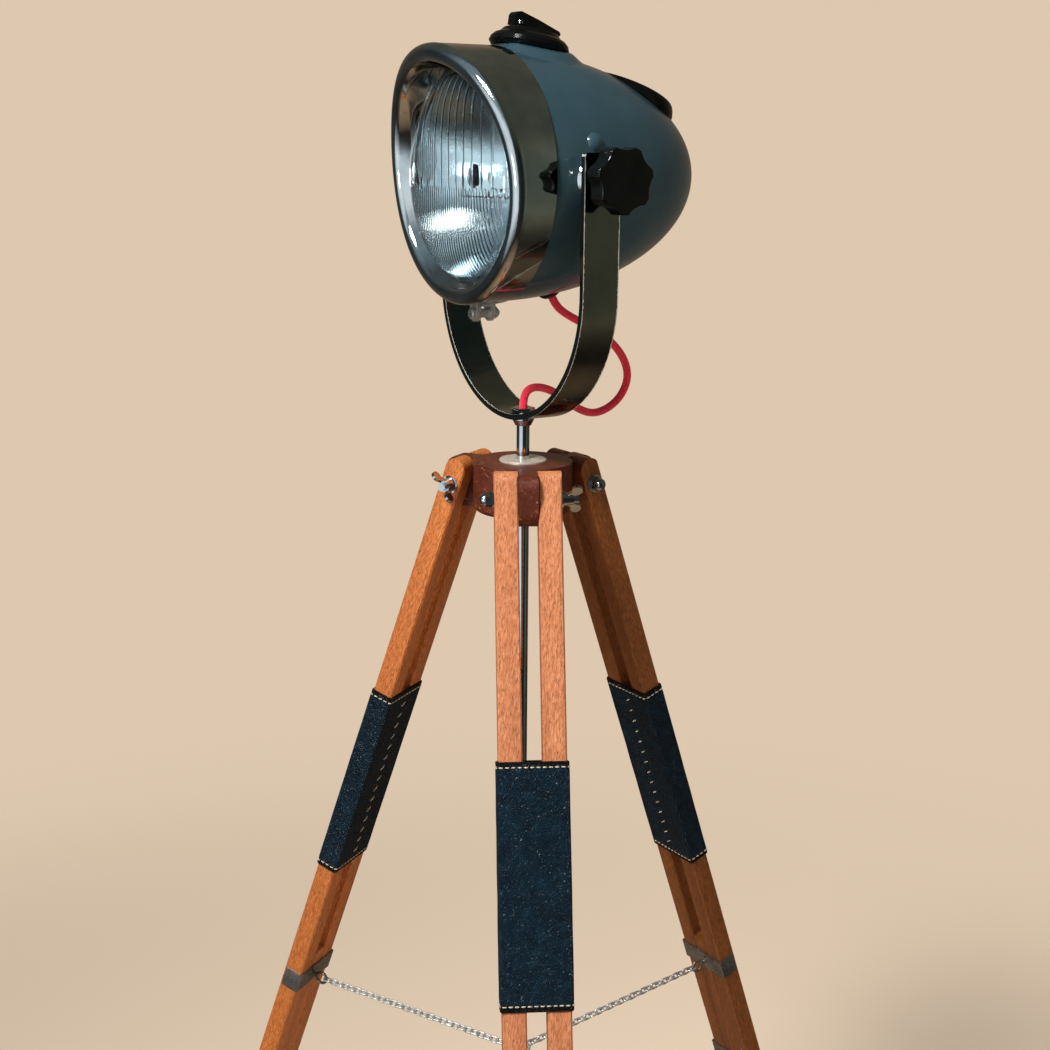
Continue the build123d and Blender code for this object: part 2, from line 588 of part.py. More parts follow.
def instrument_place():
    """Centre of the bezel's top, with +Z out of the glass."""
    up = shell_radius(INSTRUMENT_X) + INSTRUMENT_STAND
    return Pos(INSTRUMENT_X, 0, up) * Rot(0, -INSTRUMENT_TILT, 0)


def gland_place():
    """Gland's axis, with -Z out of the shell."""
    return Pos(GLAND_X, 0, -shell_radius(GLAND_X)) * Rot(0, GLAND_LEAN, 0)


def switch_place():
    """Middle of the switch's widest circle, with +Z up its axis."""
    return Pos(SWITCH_X, 0, SHELL_RADIUS + SWITCH_UP) * Rot(0, -SWITCH_TILT, 0)


def plug_place(side):
    """A side plug's axis, with +Z out through the shell's flank."""
    return Pos(PLUG_X, 0, 0) * Rot(side * (PLUG_ANGLE - 90), 0, 0)


def head_shell():
    shell = ellipsoid(SHELL_DEPTH, SHELL_RADIUS)
    shell -= ellipsoid(SHELL_DEPTH - SHELL_THICK, SHELL_RADIUS - SHELL_THICK)
    shell -= along_y(Cylinder(PIVOT_R, 3 * SHELL_RADIUS))
    for side in (-1, 1):
        shell -= plug_place(side) * rod(PLUG_RADIUS - 2, SHELL_RADIUS / 2, 2 * SHELL_RADIUS)
    shell -= switch_place() * rod(SWITCH_NECK + FIT_CLEAR, -SHELL_RADIUS / 2, SHELL_RADIUS)
    shell -= instrument_place() * rod(CASE_RADIUS + FIT_CLEAR, -CASE_DEPTH, SHELL_RADIUS)
    shell -= gland_place() * rod(GLAND_RADIUS - 2, -20, 20)
    export("head_shell", HEAD_PLACE * shell)


def rim_section(angle):
    """Rim's section at an angle from its top: hem, peaked front with its bead, flange to the lens."""
    peak = RIM_PEAK * ((1 + cos(radians(angle))) / 2) ** RIM_PEAK_POWER
    back, front = MOUTH_X, MOUTH_X + RIM_DEPTH + peak
    hem, hem_end = RIM_RADIUS - RIM_HEM, MOUTH_X + RIM_HEM_WIDTH
    seat = MOUTH_X + LENS_SEAT + LENS_THICK + RIM_SEAT_CLEAR
    inside = RIM_RADIUS - RIM_THICK
    crest, foot = RIM_RADIUS - RIM_BEAD, RIM_RADIUS - RIM_FACE
    outer = [
        Line((back, hem), (back, RIM_RADIUS)), Line((back, RIM_RADIUS), (front - RIM_ROUND, RIM_RADIUS)),
        ThreePointArc((front - RIM_ROUND, RIM_RADIUS), (front - 2, RIM_RADIUS - 2.4), (front, crest)),
        ThreePointArc((front, crest), (front - RIM_THICK, crest - 3), (front - 3.5, foot)),
        Line((front - 3.5, foot), (seat + 0.6, LENS_VIEW)), Line((seat + 0.6, LENS_VIEW), (seat, LENS_VIEW))]
    inner = [
        Line((seat, LENS_VIEW), (front - 4.4, foot + 1)),
        ThreePointArc((front - 4.4, foot + 1), (front - 1.9, foot + 3), (front - RIM_THICK, crest)),
        ThreePointArc((front - RIM_THICK, crest), (front - 2.9, RIM_RADIUS - 3.4),
                      (front - RIM_ROUND, inside)),
        Line((front - RIM_ROUND, inside), (hem_end, inside)), Line((hem_end, inside), (hem_end, hem)),
        Line((hem_end, hem), (back, hem))]
    return Rot(90 + angle, 0, 0) * make_face(Wire(outer + inner))


def rim():
    """Chrome rim, peaked over the top of the lens like a visor."""
    half = loft([rim_section(angle) for angle in range(0, 181, RIM_PEAK_STEP)])
    export("rim", HEAD_PLACE * (half + mirror(half, about=Plane.XZ)))


def crown_arc(x, radius):
    """Arc from the lens's edge to its crown, round a centre on the axis."""
    sphere = (radius ** 2 + LENS_CROWN ** 2) / (2 * LENS_CROWN)
    half = radius / 2
    return ThreePointArc((x, radius), (x + LENS_CROWN - sphere + sqrt(sphere ** 2 - half ** 2), half),
                         (x + LENS_CROWN, 0))


def lens_and_reflector():
    """Lens, gasket, reflector and its clips. Gives the reflector's vertex and its hole's place."""
    seat = MOUTH_X + LENS_SEAT
    top = seat + LENS_THICK
    outer_edge = LENS_VIEW - LENS_EDGE
    inner_edge = outer_edge - LENS_EDGE
    outside, inside = crown_arc(top, outer_edge), crown_arc(seat, inner_edge)
    face = make_face(Wire([
        Line((seat, LENS_RADIUS), (top, LENS_RADIUS)), Line((top, LENS_RADIUS), (top, outer_edge)), outside,
        Line(outside @ 1, inside @ 1), inside, Line((seat, inner_edge), (seat, LENS_RADIUS))]))
    export("lens", HEAD_PLACE * revolve(face, Axis.X))

    flange = seat - GASKET_THICK
    export("lens_gasket", HEAD_PLACE * along_x(tube(LENS_RADIUS, LENS_VIEW + GASKET_STEP, flange, seat)))

    bowl_radius = LENS_VIEW + GASKET_STEP
    vertex = flange - bowl_radius ** 2 / (4 * REFLECTOR_FOCUS)
    rows = [bowl_radius - i * (bowl_radius - HOLDER_RADIUS) / 8 for i in range(9)]
    bowl = [(vertex + r * r / (4 * REFLECTOR_FOCUS), r) for r in rows]
    front = Spline(*bowl)
    back = Spline(*[(x - REFLECTOR_THICK, r) for x, r in bowl])
    bowl_face = make_face(Wire([front, Line(front @ 1, back @ 1), back, Line(back @ 0, front @ 0)]))
    lip = tube(LENS_RADIUS + REFLECTOR_LIP, bowl_radius - 0.4, flange - REFLECTOR_THICK, flange)
    export("reflector", HEAD_PLACE * (revolve(bowl_face, Axis.X) + along_x(lip)))

    clip_top = sqrt((RIM_RADIUS - RIM_THICK) ** 2 - (CLIP_WIDTH / 2) ** 2)
    clip = Box(CLIP_THICK, CLIP_WIDTH, clip_top - LENS_RADIUS)
    clip = Pos(flange - REFLECTOR_THICK - CLIP_THICK / 2, 0, (LENS_RADIUS + clip_top) / 2) * clip
    export("reflector_clips", *[HEAD_PLACE * Rot(angle, 0, 0) * clip for angle in CLIP_ANGLES])
    return vertex, bowl[-1][0]


def bulb(vertex, holder_x):
    """Bulb in its holder behind the reflector, and the cap before it on its stalk."""
    mouth = HOLDER_RADIUS - FIT_CLEAR
    body = HOLDER_RADIUS - HOLDER_WALL
    collar = HOLDER_RADIUS + HOLDER_COLLAR
    holder = turned((0, -HOLDER_LENGTH), (body, -HOLDER_LENGTH), (body, -8), (collar, -8), (collar, -2),
                    (mouth, -2), (mouth, 1), (BULB_BASE_RADIUS, 1), (BULB_BASE_RADIUS, -BULB_SOCKET),
                    (0, -BULB_SOCKET))
    export("bulb_holder", HEAD_PLACE * Pos(holder_x, 0, 0) * along_x(holder))
    focus = vertex + REFLECTOR_FOCUS
    neck = along_x(rod(BULB_BASE_RADIUS, holder_x - BULB_SOCKET, focus - BULB_RADIUS * 0.6))
    export("bulb", HEAD_PLACE * (neck + Pos(focus, 0, 0) * Sphere(BULB_RADIUS)))

    cap_x = MOUTH_X + SHIELD_X
    cap = turned((0, 0), (SHIELD_RADIUS, -3), (SHIELD_RADIUS, -2), (0, 1))
    arm_r = SHIELD_RADIUS - 1
    stalk_r = BULB_RADIUS + 3
    stalk_x = vertex + stalk_r ** 2 / (4 * REFLECTOR_FOCUS)
    stalk = Pos(0, 0, -stalk_r) * along_x(rod(SHIELD_WIRE, stalk_x + 0.4, cap_x - 1.5))
    link = Box(2 * SHIELD_WIRE, 2 * SHIELD_WIRE, stalk_r - arm_r + 2)
    link = Pos(cap_x - 1.5 - SHIELD_WIRE, 0, -(stalk_r + arm_r) / 2) * link
    export("bulb_shield", HEAD_PLACE * (Pos(cap_x, 0, 0) * along_x(cap) + stalk + link))


def pivots():
    """Bolts fixed in the shell's flanks, domed washers, and the plugs above them."""
    seat = shell_radius(0)
    head_end = seat - SHELL_THICK - 2
    bolt = rod(PIVOT_R, head_end - 1, KNOB_OUTER - KNOB_COVER - 1)
    bolt += rod(PIVOT_HEAD_RADIUS, head_end - PIVOT_HEAD_HEIGHT, head_end)
    washer = turned((PIVOT_R, seat - 1), (DOME_WASHER_RADIUS, seat - 1), (DOME_WASHER_RADIUS, seat + 2.5),
                    (DOME_WASHER_TOP, ARM_INNER - ARM_CLEAR), (PIVOT_R, ARM_INNER - ARM_CLEAR))
    form = ellipsoid(SHELL_DEPTH, SHELL_RADIUS)
    pieces = []
    plugs = []
    flank = shell_radius(PLUG_X)
    sphere = (PLUG_RADIUS ** 2 + PLUG_HEIGHT ** 2) / (2 * PLUG_HEIGHT)
    stem = rod(PLUG_RADIUS - 2 - FIT_CLEAR, flank - 8, flank)
    dome = Pos(0, 0, flank + PLUG_HEIGHT - sphere) * Sphere(sphere)
    dome &= rod(PLUG_RADIUS, flank - 2, flank + 2 * PLUG_HEIGHT)
    for side in (1, -1):
        turn = Rot(side * -90, 0, 0)
        pieces += [turn * bolt, turn * washer - form]
        plugs.append((plug_place(side) * dome - form) + plug_place(side) * stem)
    export("pivot_bolts", *[HEAD_PLACE * piece for piece in pieces])
    export("side_plugs", *[HEAD_PLACE * plug for plug in plugs])


def switch():
    """Domed base set into the shell, and the crested lever that turns on it."""
    edge = SWITCH_RADIUS
    dome = [(0, SWITCH_CROWN), (15, SWITCH_CROWN - 1), (19.9, SWITCH_CROWN - 2), (edge - 6.8, 7),
            (edge - 3.5, 5.5), (edge - 1, 3), (edge, 0)]
    base = turned(*dome, (edge - 2, -3), (SWITCH_NECK, -4), (SWITCH_NECK, -SWITCH_SINK), (0, -SWITCH_SINK))
    place = HEAD_PLACE * switch_place()
    form = HEAD_PLACE * ellipsoid(SHELL_DEPTH, SHELL_RADIUS)
    export("switch_base", place * base - (form & place * tube(edge, SWITCH_NECK, -5, 0)))
    under = [(x, z + LEVER_LIFT) for x, z in dome[:3]]
    fin = make_face(Polyline(
        (-LEVER_REAR, LEVER_PEAK - 8.3), (-LEVER_REAR + 1.5, LEVER_PEAK - 6.7), (-2, LEVER_PEAK - 2.7),
        (13, LEVER_PEAK), (16, LEVER_PEAK - 0.8), (LEVER_FRONT, LEVER_PEAK - 3), (LEVER_FRONT, under[1][1]),
        *under[1::-1], (-under[1][0], under[1][1]), (-under[2][0], under[2][1]),
        (-LEVER_REAR + 1.5, under[2][1]), close=True))
    lever = extrude(Plane.XZ * fin, LEVER_WIDTH, both=True)
    front, rear = LEVER_WIDTH / 2, LEVER_TAIL / 2
    plan = make_face(Polyline((-LEVER_REAR - 1, rear), (-2, front), (LEVER_FRONT + 1, front),
                              (LEVER_FRONT + 1, -front), (-2, -front), (-LEVER_REAR - 1, -rear), close=True))
    export("switch_lever", place * (lever & extrude(plan, 2 * LEVER_PEAK)))


def instrument():
    """Round case let into the shell, with its bezel, glass, dial and needle."""
    place = HEAD_PLACE * instrument_place()
    bore = BEZEL_RADIUS - BEZEL_LIP
    inside = CASE_RADIUS - CASE_WALL
    floor, ledge = CASE_WALL - CASE_DEPTH, 2 - BEZEL_HEIGHT
    case = turned(
        (0, -CASE_DEPTH), (CASE_RADIUS - CASE_EDGE, -CASE_DEPTH), (CASE_RADIUS, CASE_EDGE - CASE_DEPTH),
        (CASE_RADIUS, -BEZEL_HEIGHT), (BEZEL_RADIUS, -BEZEL_HEIGHT), (BEZEL_RADIUS, -BEZEL_DROP),
        (BEZEL_RADIUS - 0.3 * BEZEL_TAPER, -0.5 * BEZEL_DROP),
        (BEZEL_RADIUS - 0.65 * BEZEL_TAPER, -0.17 * BEZEL_DROP), (BEZEL_RADIUS - BEZEL_TAPER, 0),
        (bore, 0), (bore, ledge), (inside, ledge), (inside, floor), (0, floor))
    proud = place * tube(BEZEL_RADIUS + 1, CASE_RADIUS, -BEZEL_HEIGHT - 1, 1)
    form = HEAD_PLACE * ellipsoid(SHELL_DEPTH, SHELL_RADIUS)
    export("instrument_case", place * case - (form & proud))
    export("instrument_glass", place * rod(bore, -GLASS_DROP - GLASS_THICK, -GLASS_DROP))
    dial_top = -GLASS_DROP - GLASS_THICK - DIAL_DROP
    dial = rod(bore, dial_top - DIAL_THICK, dial_top)
    dial -= rod(SPINDLE_RADIUS + RUN_CLEAR, dial_top - 2, dial_top + 1)
    export("instrument_dial", place * dial)
    lift = dial_top + NEEDLE_LIFT
    spindle = rod(SPINDLE_RADIUS, dial_top - 6, lift + 1) + rod(SPINDLE_CAP, lift - 0.4, lift + 1.4)
    hand = make_face(Polyline((-NEEDLE_TAIL, -1.6), (NEEDLE_LENGTH, -0.5), (NEEDLE_LENGTH, 0.5),
                              (-NEEDLE_TAIL, 1.6), close=True))
    needle = Pos(0, 0, lift) * Rot(0, 0, NEEDLE_ANGLE) * extrude(hand, NEEDLE_THICK)
    export("instrument_needle", place * (spindle + needle))


def rim_clamp():
    """Two lugs under the rim's joint, the screw across them, its nut and spacer sleeve."""
    low = -RIM_RADIUS - CLAMP_DROP
    outside = LUG_GAP / 2 + LUG_THICK
    bracket = Pos(CLAMP_X, 0, -RIM_RADIUS - BRIDGE_THICK / 2) * Box(2 * outside, 2 * LUG_RADIUS, BRIDGE_THICK)
    for side in (-1, 1):
        middle = CLAMP_X + side * (LUG_GAP + LUG_THICK) / 2
        bracket += Pos(middle, 0, low) * along_x(Cylinder(LUG_RADIUS, LUG_THICK))
        bracket += Pos(middle, 0, low + CLAMP_DROP / 2) * Box(LUG_THICK, 2 * LUG_RADIUS, CLAMP_DROP)
    bracket -= ellipsoid(SHELL_DEPTH, SHELL_RADIUS + 0.1)
    bracket -= along_x(rod(RIM_RADIUS + 0.05, MOUTH_X, MOUTH_X + RIM_DEPTH))
    axis = Pos(CLAMP_X, 0, low)
    bracket -= axis * along_x(Cylinder(CLAMP_SCREW_R, 4 * outside))
    export("rim_clamp_bracket", HEAD_PLACE * bracket)
    screw = rod(CLAMP_SCREW_R, -outside - CLAMP_NUT_HEIGHT - 2, outside + 1)
    top = outside + CLAMP_HEAD_HEIGHT
    head = rod(CLAMP_HEAD_RADIUS, outside, top)
    head = fillet(head.edges().group_by(Axis.Z)[-1], 1.4)
    for turn in (0, 90):
        head -= Pos(0, 0, top) * Rot(0, 0, turn) * Box(6, 1, 2.4)
    nut = Pos(0, 0, -outside - CLAMP_NUT_HEIGHT) * hex_prism(CLAMP_NUT_RADIUS, CLAMP_NUT_HEIGHT)
    nut -= rod(CLAMP_SCREW_R, -2 * top, 2 * top)
    spacer = tube(SPACER_RADIUS, CLAMP_SCREW_R, -LUG_GAP / 2, LUG_GAP / 2)
    export("rim_clamp_screw", *[HEAD_PLACE * axis * along_x(part) for part in (screw + head, nut, spacer)])


def cable_gland():
    seat = GLAND_RADIUS - GLAND_WALL
    gland = turned((CORD_RADIUS, -GLAND_OUT), (GLAND_RADIUS - 2, -GLAND_OUT), (GLAND_RADIUS, 2 - GLAND_OUT),
                   (GLAND_RADIUS, 0), (seat, 0), (seat, GLAND_IN), (CORD_RADIUS, GLAND_IN))
    place = HEAD_PLACE * gland_place()
    collar = place * tube(GLAND_RADIUS + 1, GLAND_RADIUS - 2, -2, GLAND_IN + 1)
    form = HEAD_PLACE * ellipsoid(SHELL_DEPTH, SHELL_RADIUS)
    export("cable_gland", place * gland - (form & collar))


def star_knobs():
    """Lobed knobs on the pivot bolts, outside the yoke's arms."""
    low = KNOB_OUTER - KNOB_THICK
    neck = tube(KNOB_NECK_RADIUS, PIVOT_R + RUN_CLEAR, YOKE_RADIUS + ARM_CLEAR, low + 1)
    hollow = Pos(KNOB_RADIUS - KNOB_HOLLOW + KNOB_HOLLOW_RADIUS, 0) * Circle(KNOB_HOLLOW_RADIUS)
    plan = Circle(KNOB_RADIUS)
    for step in range(KNOB_LOBES):
        plan -= Rot(0, 0, -90 + step * 360 / KNOB_LOBES) * hollow
    plan = fillet(plan.vertices(), KNOB_TIP)
    star = Pos(0, 0, low) * extrude(plan, KNOB_THICK)
    faces = star.faces().filter_by(GeomType.PLANE).filter_by(Axis.Z)
    star = fillet([edge for face in faces for edge in face.edges()], KNOB_EDGE)
    star -= rod(PIVOT_R + RUN_CLEAR, 0, KNOB_OUTER - KNOB_COVER)
    for name, side in (("knob_left", -1), ("knob_right", 1)):
        export(name, HEAD_PLACE * Rot(side * -90, 0, 0) * (star + neck))


# ---------------------------------------------------------------- cords
def corner_radii(points):
    """As large an arc at each point as its two runs allow."""
    radii = []
    for before, at, after in zip(points, points[1:], points[2:]):
        into, out = Vector(at) - Vector(before), Vector(after) - Vector(at)
        half_turn = into.get_angle(out) / 2
        radii.append(0.45 * min(into.length, out.length) / tan(radians(half_turn)))
    return radii


def cord_tube(name, points):
    radii = corner_radii(points)
    path = FilletPolyline(*points, radius=radii)
    section = Plane(origin=path @ 0, z_dir=path % 0) * Circle(CORD_RADIUS)
    cord = sweep(section, path)
    print(f"{name}: {path.length:.0f} mm long, smallest corner radius {min(radii):.1f} mm")
    return cord


def loop_cord():
    exits = [gland_place() * Pos(0, 0, -GLAND_OUT - run) for run in (0, GLAND_RUN)]
    top = (0, 0, COLUMN_TOP - PIVOT_Z)
    points = [*[tuple(point.position) for point in exits], *LOOP_ROUTE, top]
    export("loop_cord", HEAD_PLACE * cord_tube("loop cord", points))


def above_floor(x, y, height):
    return x, y, height - BOLT_HEIGHT


def mains_lead():
    start = (0, 0, COLUMN_BOTTOM - END_BUSH_LIP)
    hanging = [start, *[above_floor(*point) for point in LEAD_ROUTE],
               above_floor(*LEAD_END, CORD_RADIUS + 0.2)]
    tail = [above_floor(*point) for point in (TAIL_START, *TAIL_ROUTE, PLUG_END)]
    export("mains_cord", cord_tube("mains lead", hanging), cord_tube("tail", tail))
    section = Pos(COIL_RADIUS, COIL_HEIGHT / 2) * RectangleRounded(COIL_WIDTH, COIL_HEIGHT, 3)
    coil = revolve(Plane.XZ * section, Axis.Z)
    export("cord_coil", Pos(*above_floor(*COIL_CENTRE, 0.1)) * coil)
    body_end = -PLUG_NECK - PLUG_BODY
    body = turned((0, 0), (CORD_RADIUS + 1.2, 0), (CORD_RADIUS + 3.4, -PLUG_NECK),
                  (PLUG_BODY_RADIUS - 3, -PLUG_NECK - 2), (PLUG_BODY_RADIUS, -PLUG_NECK - 9),
                  (PLUG_BODY_RADIUS, body_end), (0, body_end))
    for side in (-1, 1):
        body += Pos(side * PIN_SPACING / 2, 0, 0) * rod(PIN_RADIUS, body_end - PIN_LENGTH, body_end)
    export("plug", Pos(*above_floor(*PLUG_END)) * Rot(-90, 0, 0) * Rot(0, 0, 90) * body)


# ---------------------------------------------------------------- build
hub()
hub_bushing()
column_lock_screw()
leg_bolts()
export("spreader_ring", Pos(0, 0, RING_Z) * Torus(RING_RADIUS, RING_WIRE))
chain_links = chain()
grip_face = LEG_HALF + WASHER_THICK
for number, azimuth in enumerate(LEG_AZIMUTHS, start=1):
    export(f"leg_{number}_bars", *[on_leg(azimuth, bar) for bar in leg_bars()])
    export(f"leg_{number}_sleeve", on_leg(azimuth, sleeve()))
    export(f"leg_{number}_straps", *[on_leg(azimuth, piece) for piece in straps()])
    export(f"leg_{number}_clamp_wing", on_leg(azimuth, clamp_wing()))
    export(f"leg_{number}_lower_bar", on_leg(azimuth, lower_bar()))
    export(f"leg_{number}_foot", on_leg(azimuth, foot()))
    nut = Pos(0, 0, grip_face) * Rot(0, 0, 35) * wing_nut()
    export(f"leg_{number}_wing_nut", at_bolt(azimuth, along_x(nut)))
    export(f"leg_{number}_chain", *[Rot(0, 0, azimuth) * link for link in chain_links])
column()
yoke()
head_shell()
rim()
bulb(*lens_and_reflector())
pivots()
switch()
instrument()
rim_clamp()
cable_gland()
star_knobs()
loop_cord()
mains_lead()
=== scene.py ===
import json
from math import acos, atan2, cos, exp, hypot, pi, radians, sin, sqrt

import bmesh
import bpy
from mathutils import Euler, Matrix, Vector, noise
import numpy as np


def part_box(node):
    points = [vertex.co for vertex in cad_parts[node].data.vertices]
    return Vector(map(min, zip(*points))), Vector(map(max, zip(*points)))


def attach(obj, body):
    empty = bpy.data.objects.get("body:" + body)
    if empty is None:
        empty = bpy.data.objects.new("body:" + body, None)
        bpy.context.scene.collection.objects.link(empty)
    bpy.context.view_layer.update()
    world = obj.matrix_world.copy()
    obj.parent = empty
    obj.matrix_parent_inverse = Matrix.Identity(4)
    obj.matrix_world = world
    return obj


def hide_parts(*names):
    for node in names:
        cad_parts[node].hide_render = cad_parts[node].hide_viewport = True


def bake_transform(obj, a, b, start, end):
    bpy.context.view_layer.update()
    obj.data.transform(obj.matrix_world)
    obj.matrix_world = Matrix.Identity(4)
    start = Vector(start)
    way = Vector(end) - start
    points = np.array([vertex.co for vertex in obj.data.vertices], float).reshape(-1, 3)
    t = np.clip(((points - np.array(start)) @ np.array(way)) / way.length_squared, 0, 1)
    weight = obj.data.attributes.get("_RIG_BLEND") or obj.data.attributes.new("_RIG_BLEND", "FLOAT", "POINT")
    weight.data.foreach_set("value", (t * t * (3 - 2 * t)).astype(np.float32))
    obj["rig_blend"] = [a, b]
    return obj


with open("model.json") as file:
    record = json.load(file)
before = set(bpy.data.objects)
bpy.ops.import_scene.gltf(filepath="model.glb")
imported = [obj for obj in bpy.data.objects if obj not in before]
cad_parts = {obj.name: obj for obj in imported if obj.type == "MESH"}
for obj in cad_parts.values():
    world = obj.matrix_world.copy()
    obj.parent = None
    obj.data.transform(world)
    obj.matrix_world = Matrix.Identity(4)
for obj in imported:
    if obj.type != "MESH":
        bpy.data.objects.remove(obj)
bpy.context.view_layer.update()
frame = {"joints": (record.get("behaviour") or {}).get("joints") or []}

joints = {joint["name"]: joint for joint in frame["joints"]}


# ---------------------------------------------------------------- studio and camera
# A pale warm floor runs out into a backdrop of the same colour. The main lamp is high on the left,
# with a small window below it, a weak fill on the right and a lamp behind. Bright metal mirrors a
# dim room with a window on the left, a grey ceiling and a darker floor.


def tone(red, green, blue):
    """A display colour from 0 to 255 as a linear one."""
    return tuple(((value / 255 + 0.055) / 1.055) ** 2.4 for value in (red, green, blue))


def fill_in(made, node, inputs):
    """Gives a node its inputs; one given as a socket is linked to it."""
    for name, value in inputs.items():
        socket = node.inputs[name]
        if isinstance(value, bpy.types.NodeSocket):
            made.node_tree.links.new(value, socket)
        elif socket.type == "RGBA":
            socket.default_value = (*value, 1)
        else:
            socket.default_value = value


def add(made, kind, inputs=None, **settings):
    """One new node in a material or world."""
    node = made.node_tree.nodes.new("ShaderNode" + kind)
    for name, value in settings.items():
        setattr(node, name, value)
    fill_in(made, node, inputs or {})
    return node


def calc(made, operation, *values):
    """Arithmetic with numbers or sockets."""
    return add(made, "Math", dict(enumerate(values)), operation=operation).outputs[0]


def ramp(made, factor, *stops):
    """Colours at places along a factor."""
    node = add(made, "ValToRGB", {"Fac": factor})
    band = node.color_ramp
    while len(band.elements) < len(stops):
        band.elements.new(1.0)
    for element, (place, colour) in zip(band.elements, stops):
        element.position = place
        element.color = (*colour, 1)
    return node.outputs["Color"]


def mixed(made, factor, a, b):
    """Two colours mixed by a factor."""
    return add(made, "Mix", {0: factor, 6: a, 7: b}, data_type="RGBA").outputs[2]


def link(piece):
    """Puts an object in the scene."""
    bpy.context.scene.collection.objects.link(piece)
    return piece


def mesh_piece(name, shape, made, smooth=True):
    """A mesh object from a bmesh, which is freed."""
    mesh = bpy.data.meshes.new(name)
    bmesh.ops.recalc_face_normals(shape, faces=shape.faces)
    shape.to_mesh(mesh)
    shape.free()
    if smooth:
        mesh.shade_smooth()
    mesh.materials.append(made)
    return link(bpy.data.objects.new(name, mesh))


BACKDROP = tone(222, 200, 176)
AMBIENT = tone(118, 116, 112)
CEILING_FROM, CEILING_TO = 0.25, 0.6
world = bpy.data.worlds.new("studio")
bpy.context.scene.world = world
world.use_nodes = True
rays = add(world, "LightPath").outputs
through_or_off = calc(world, "MAXIMUM", rays["Is Glossy Ray"], rays["Is Transmission Ray"])
seen = calc(world, "MAXIMUM", rays["Is Camera Ray"], through_or_off)
heading = add(world, "SeparateXYZ", {0: add(world, "TexCoord").outputs["Generated"]}).outputs


def turned_to(made, direction):
    """From 0 behind, through 0.25 on the left and 0.5 in front, to 1 behind again."""
    angle = calc(made, "ARCTAN2", direction["X"], calc(made, "MULTIPLY", direction["Y"], -1.0))
    return calc(made, "MULTIPLY_ADD", angle, 0.5 / pi, 0.5)


def room(made, around):
    """What bright metal mirrors at the height of the eye."""
    return ramp(
        made, around,
        (0.0, tone(128, 108, 88)), (0.083, tone(80, 74, 64)), (0.167, tone(44, 50, 52)),
        (0.275, tone(52, 62, 66)), (0.311, tone(206, 224, 236)), (0.375, tone(244, 252, 255)),
        (0.455, tone(214, 228, 238)), (0.48, tone(66, 72, 74)), (0.528, tone(38, 40, 38)),
        (0.6, tone(24, 28, 28)), (0.655, tone(54, 70, 70)), (0.69, tone(104, 102, 82)),
        (0.73, tone(40, 42, 38)), (0.84, tone(84, 76, 64)), (1.0, tone(128, 108, 88)))


around = turned_to(world, heading)
ceiling = ramp(
    world, around,
    (0.0, tone(80, 80, 68)), (0.2, tone(66, 76, 80)), (0.3, tone(118, 136, 146)),
    (0.44, tone(118, 136, 146)), (0.5, tone(60, 64, 58)), (1.0, tone(80, 80, 68)))
overhead = add(world, "MapRange", {"Value": heading["Z"], "From Min": CEILING_FROM,
                                 "From Max": CEILING_TO}, interpolation_type="SMOOTHSTEP").outputs[0]
mirrored = mixed(world, overhead, room(world, around), ceiling)
mirrored = mixed(world, rays["Is Camera Ray"], mirrored, BACKDROP)
surroundings = mixed(world, seen, AMBIENT, mirrored)
world.node_tree.links.new(surroundings, world.node_tree.nodes["Background"].inputs["Color"])

FLOOR_RADIUS = 30
FLOOR_TONE = tone(236, 216, 194)
FADE_START, FADE_END = 0.8, 2.4             # metres out, where the floor turns into the backdrop
MIRRORED_START, MIRRORED_END = 1.1, 2.6     # where mirrors see the room and no longer the floor
floor_paint = bpy.data.materials.new("pale_floor")
floor_paint.use_nodes = True
place = add(floor_paint, "NewGeometry").outputs["Position"]
away = add(floor_paint, "VectorMath", {0: place}, operation="LENGTH").outputs["Value"]
fade = add(floor_paint, "MapRange", {"Value": away, "From Min": FADE_START, "From Max": FADE_END},
           interpolation_type="SMOOTHERSTEP").outputs[0]
matt = floor_paint.node_tree.nodes["Principled BSDF"]
fill_in(floor_paint, matt, {"Base Color": FLOOR_TONE, "Roughness": 0.9, "Specular IOR Level": 0.1})
distant = add(floor_paint, "Emission", {"Color": BACKDROP, "Strength": 1.0}).outputs[0]
blended = add(floor_paint, "MixShader", {0: fade, 1: matt.outputs[0], 2: distant}).outputs[0]
underfoot = ramp(floor_paint, away, (0.25, tone(158, 132, 104)), (1.0, tone(44, 40, 34)))
spread = add(floor_paint, "SeparateXYZ", {0: place}).outputs
far = add(floor_paint, "MapRange", {"Value": away, "From Min": MIRRORED_START,
                                    "From Max": MIRRORED_END}).outputs[0]
underfoot = mixed(floor_paint, far, underfoot, room(floor_paint, turned_to(floor_paint, spread)))
in_mirrors = add(floor_paint, "Emission", {"Color": underfoot, "Strength": 1.0}).outputs[0]
glossy = add(floor_paint, "LightPath").outputs["Is Glossy Ray"]
blended = add(floor_paint, "MixShader", {0: glossy, 1: blended, 2: in_mirrors}).outputs[0]
painted = floor_paint.node_tree.nodes["Material Output"].inputs["Surface"]
floor_paint.node_tree.links.new(blended, painted)
ground = bmesh.new()
bmesh.ops.create_circle(ground, cap_ends=True, segments=96, radius=FLOOR_RADIUS)
floor = mesh_piece("floor", ground, floor_paint)


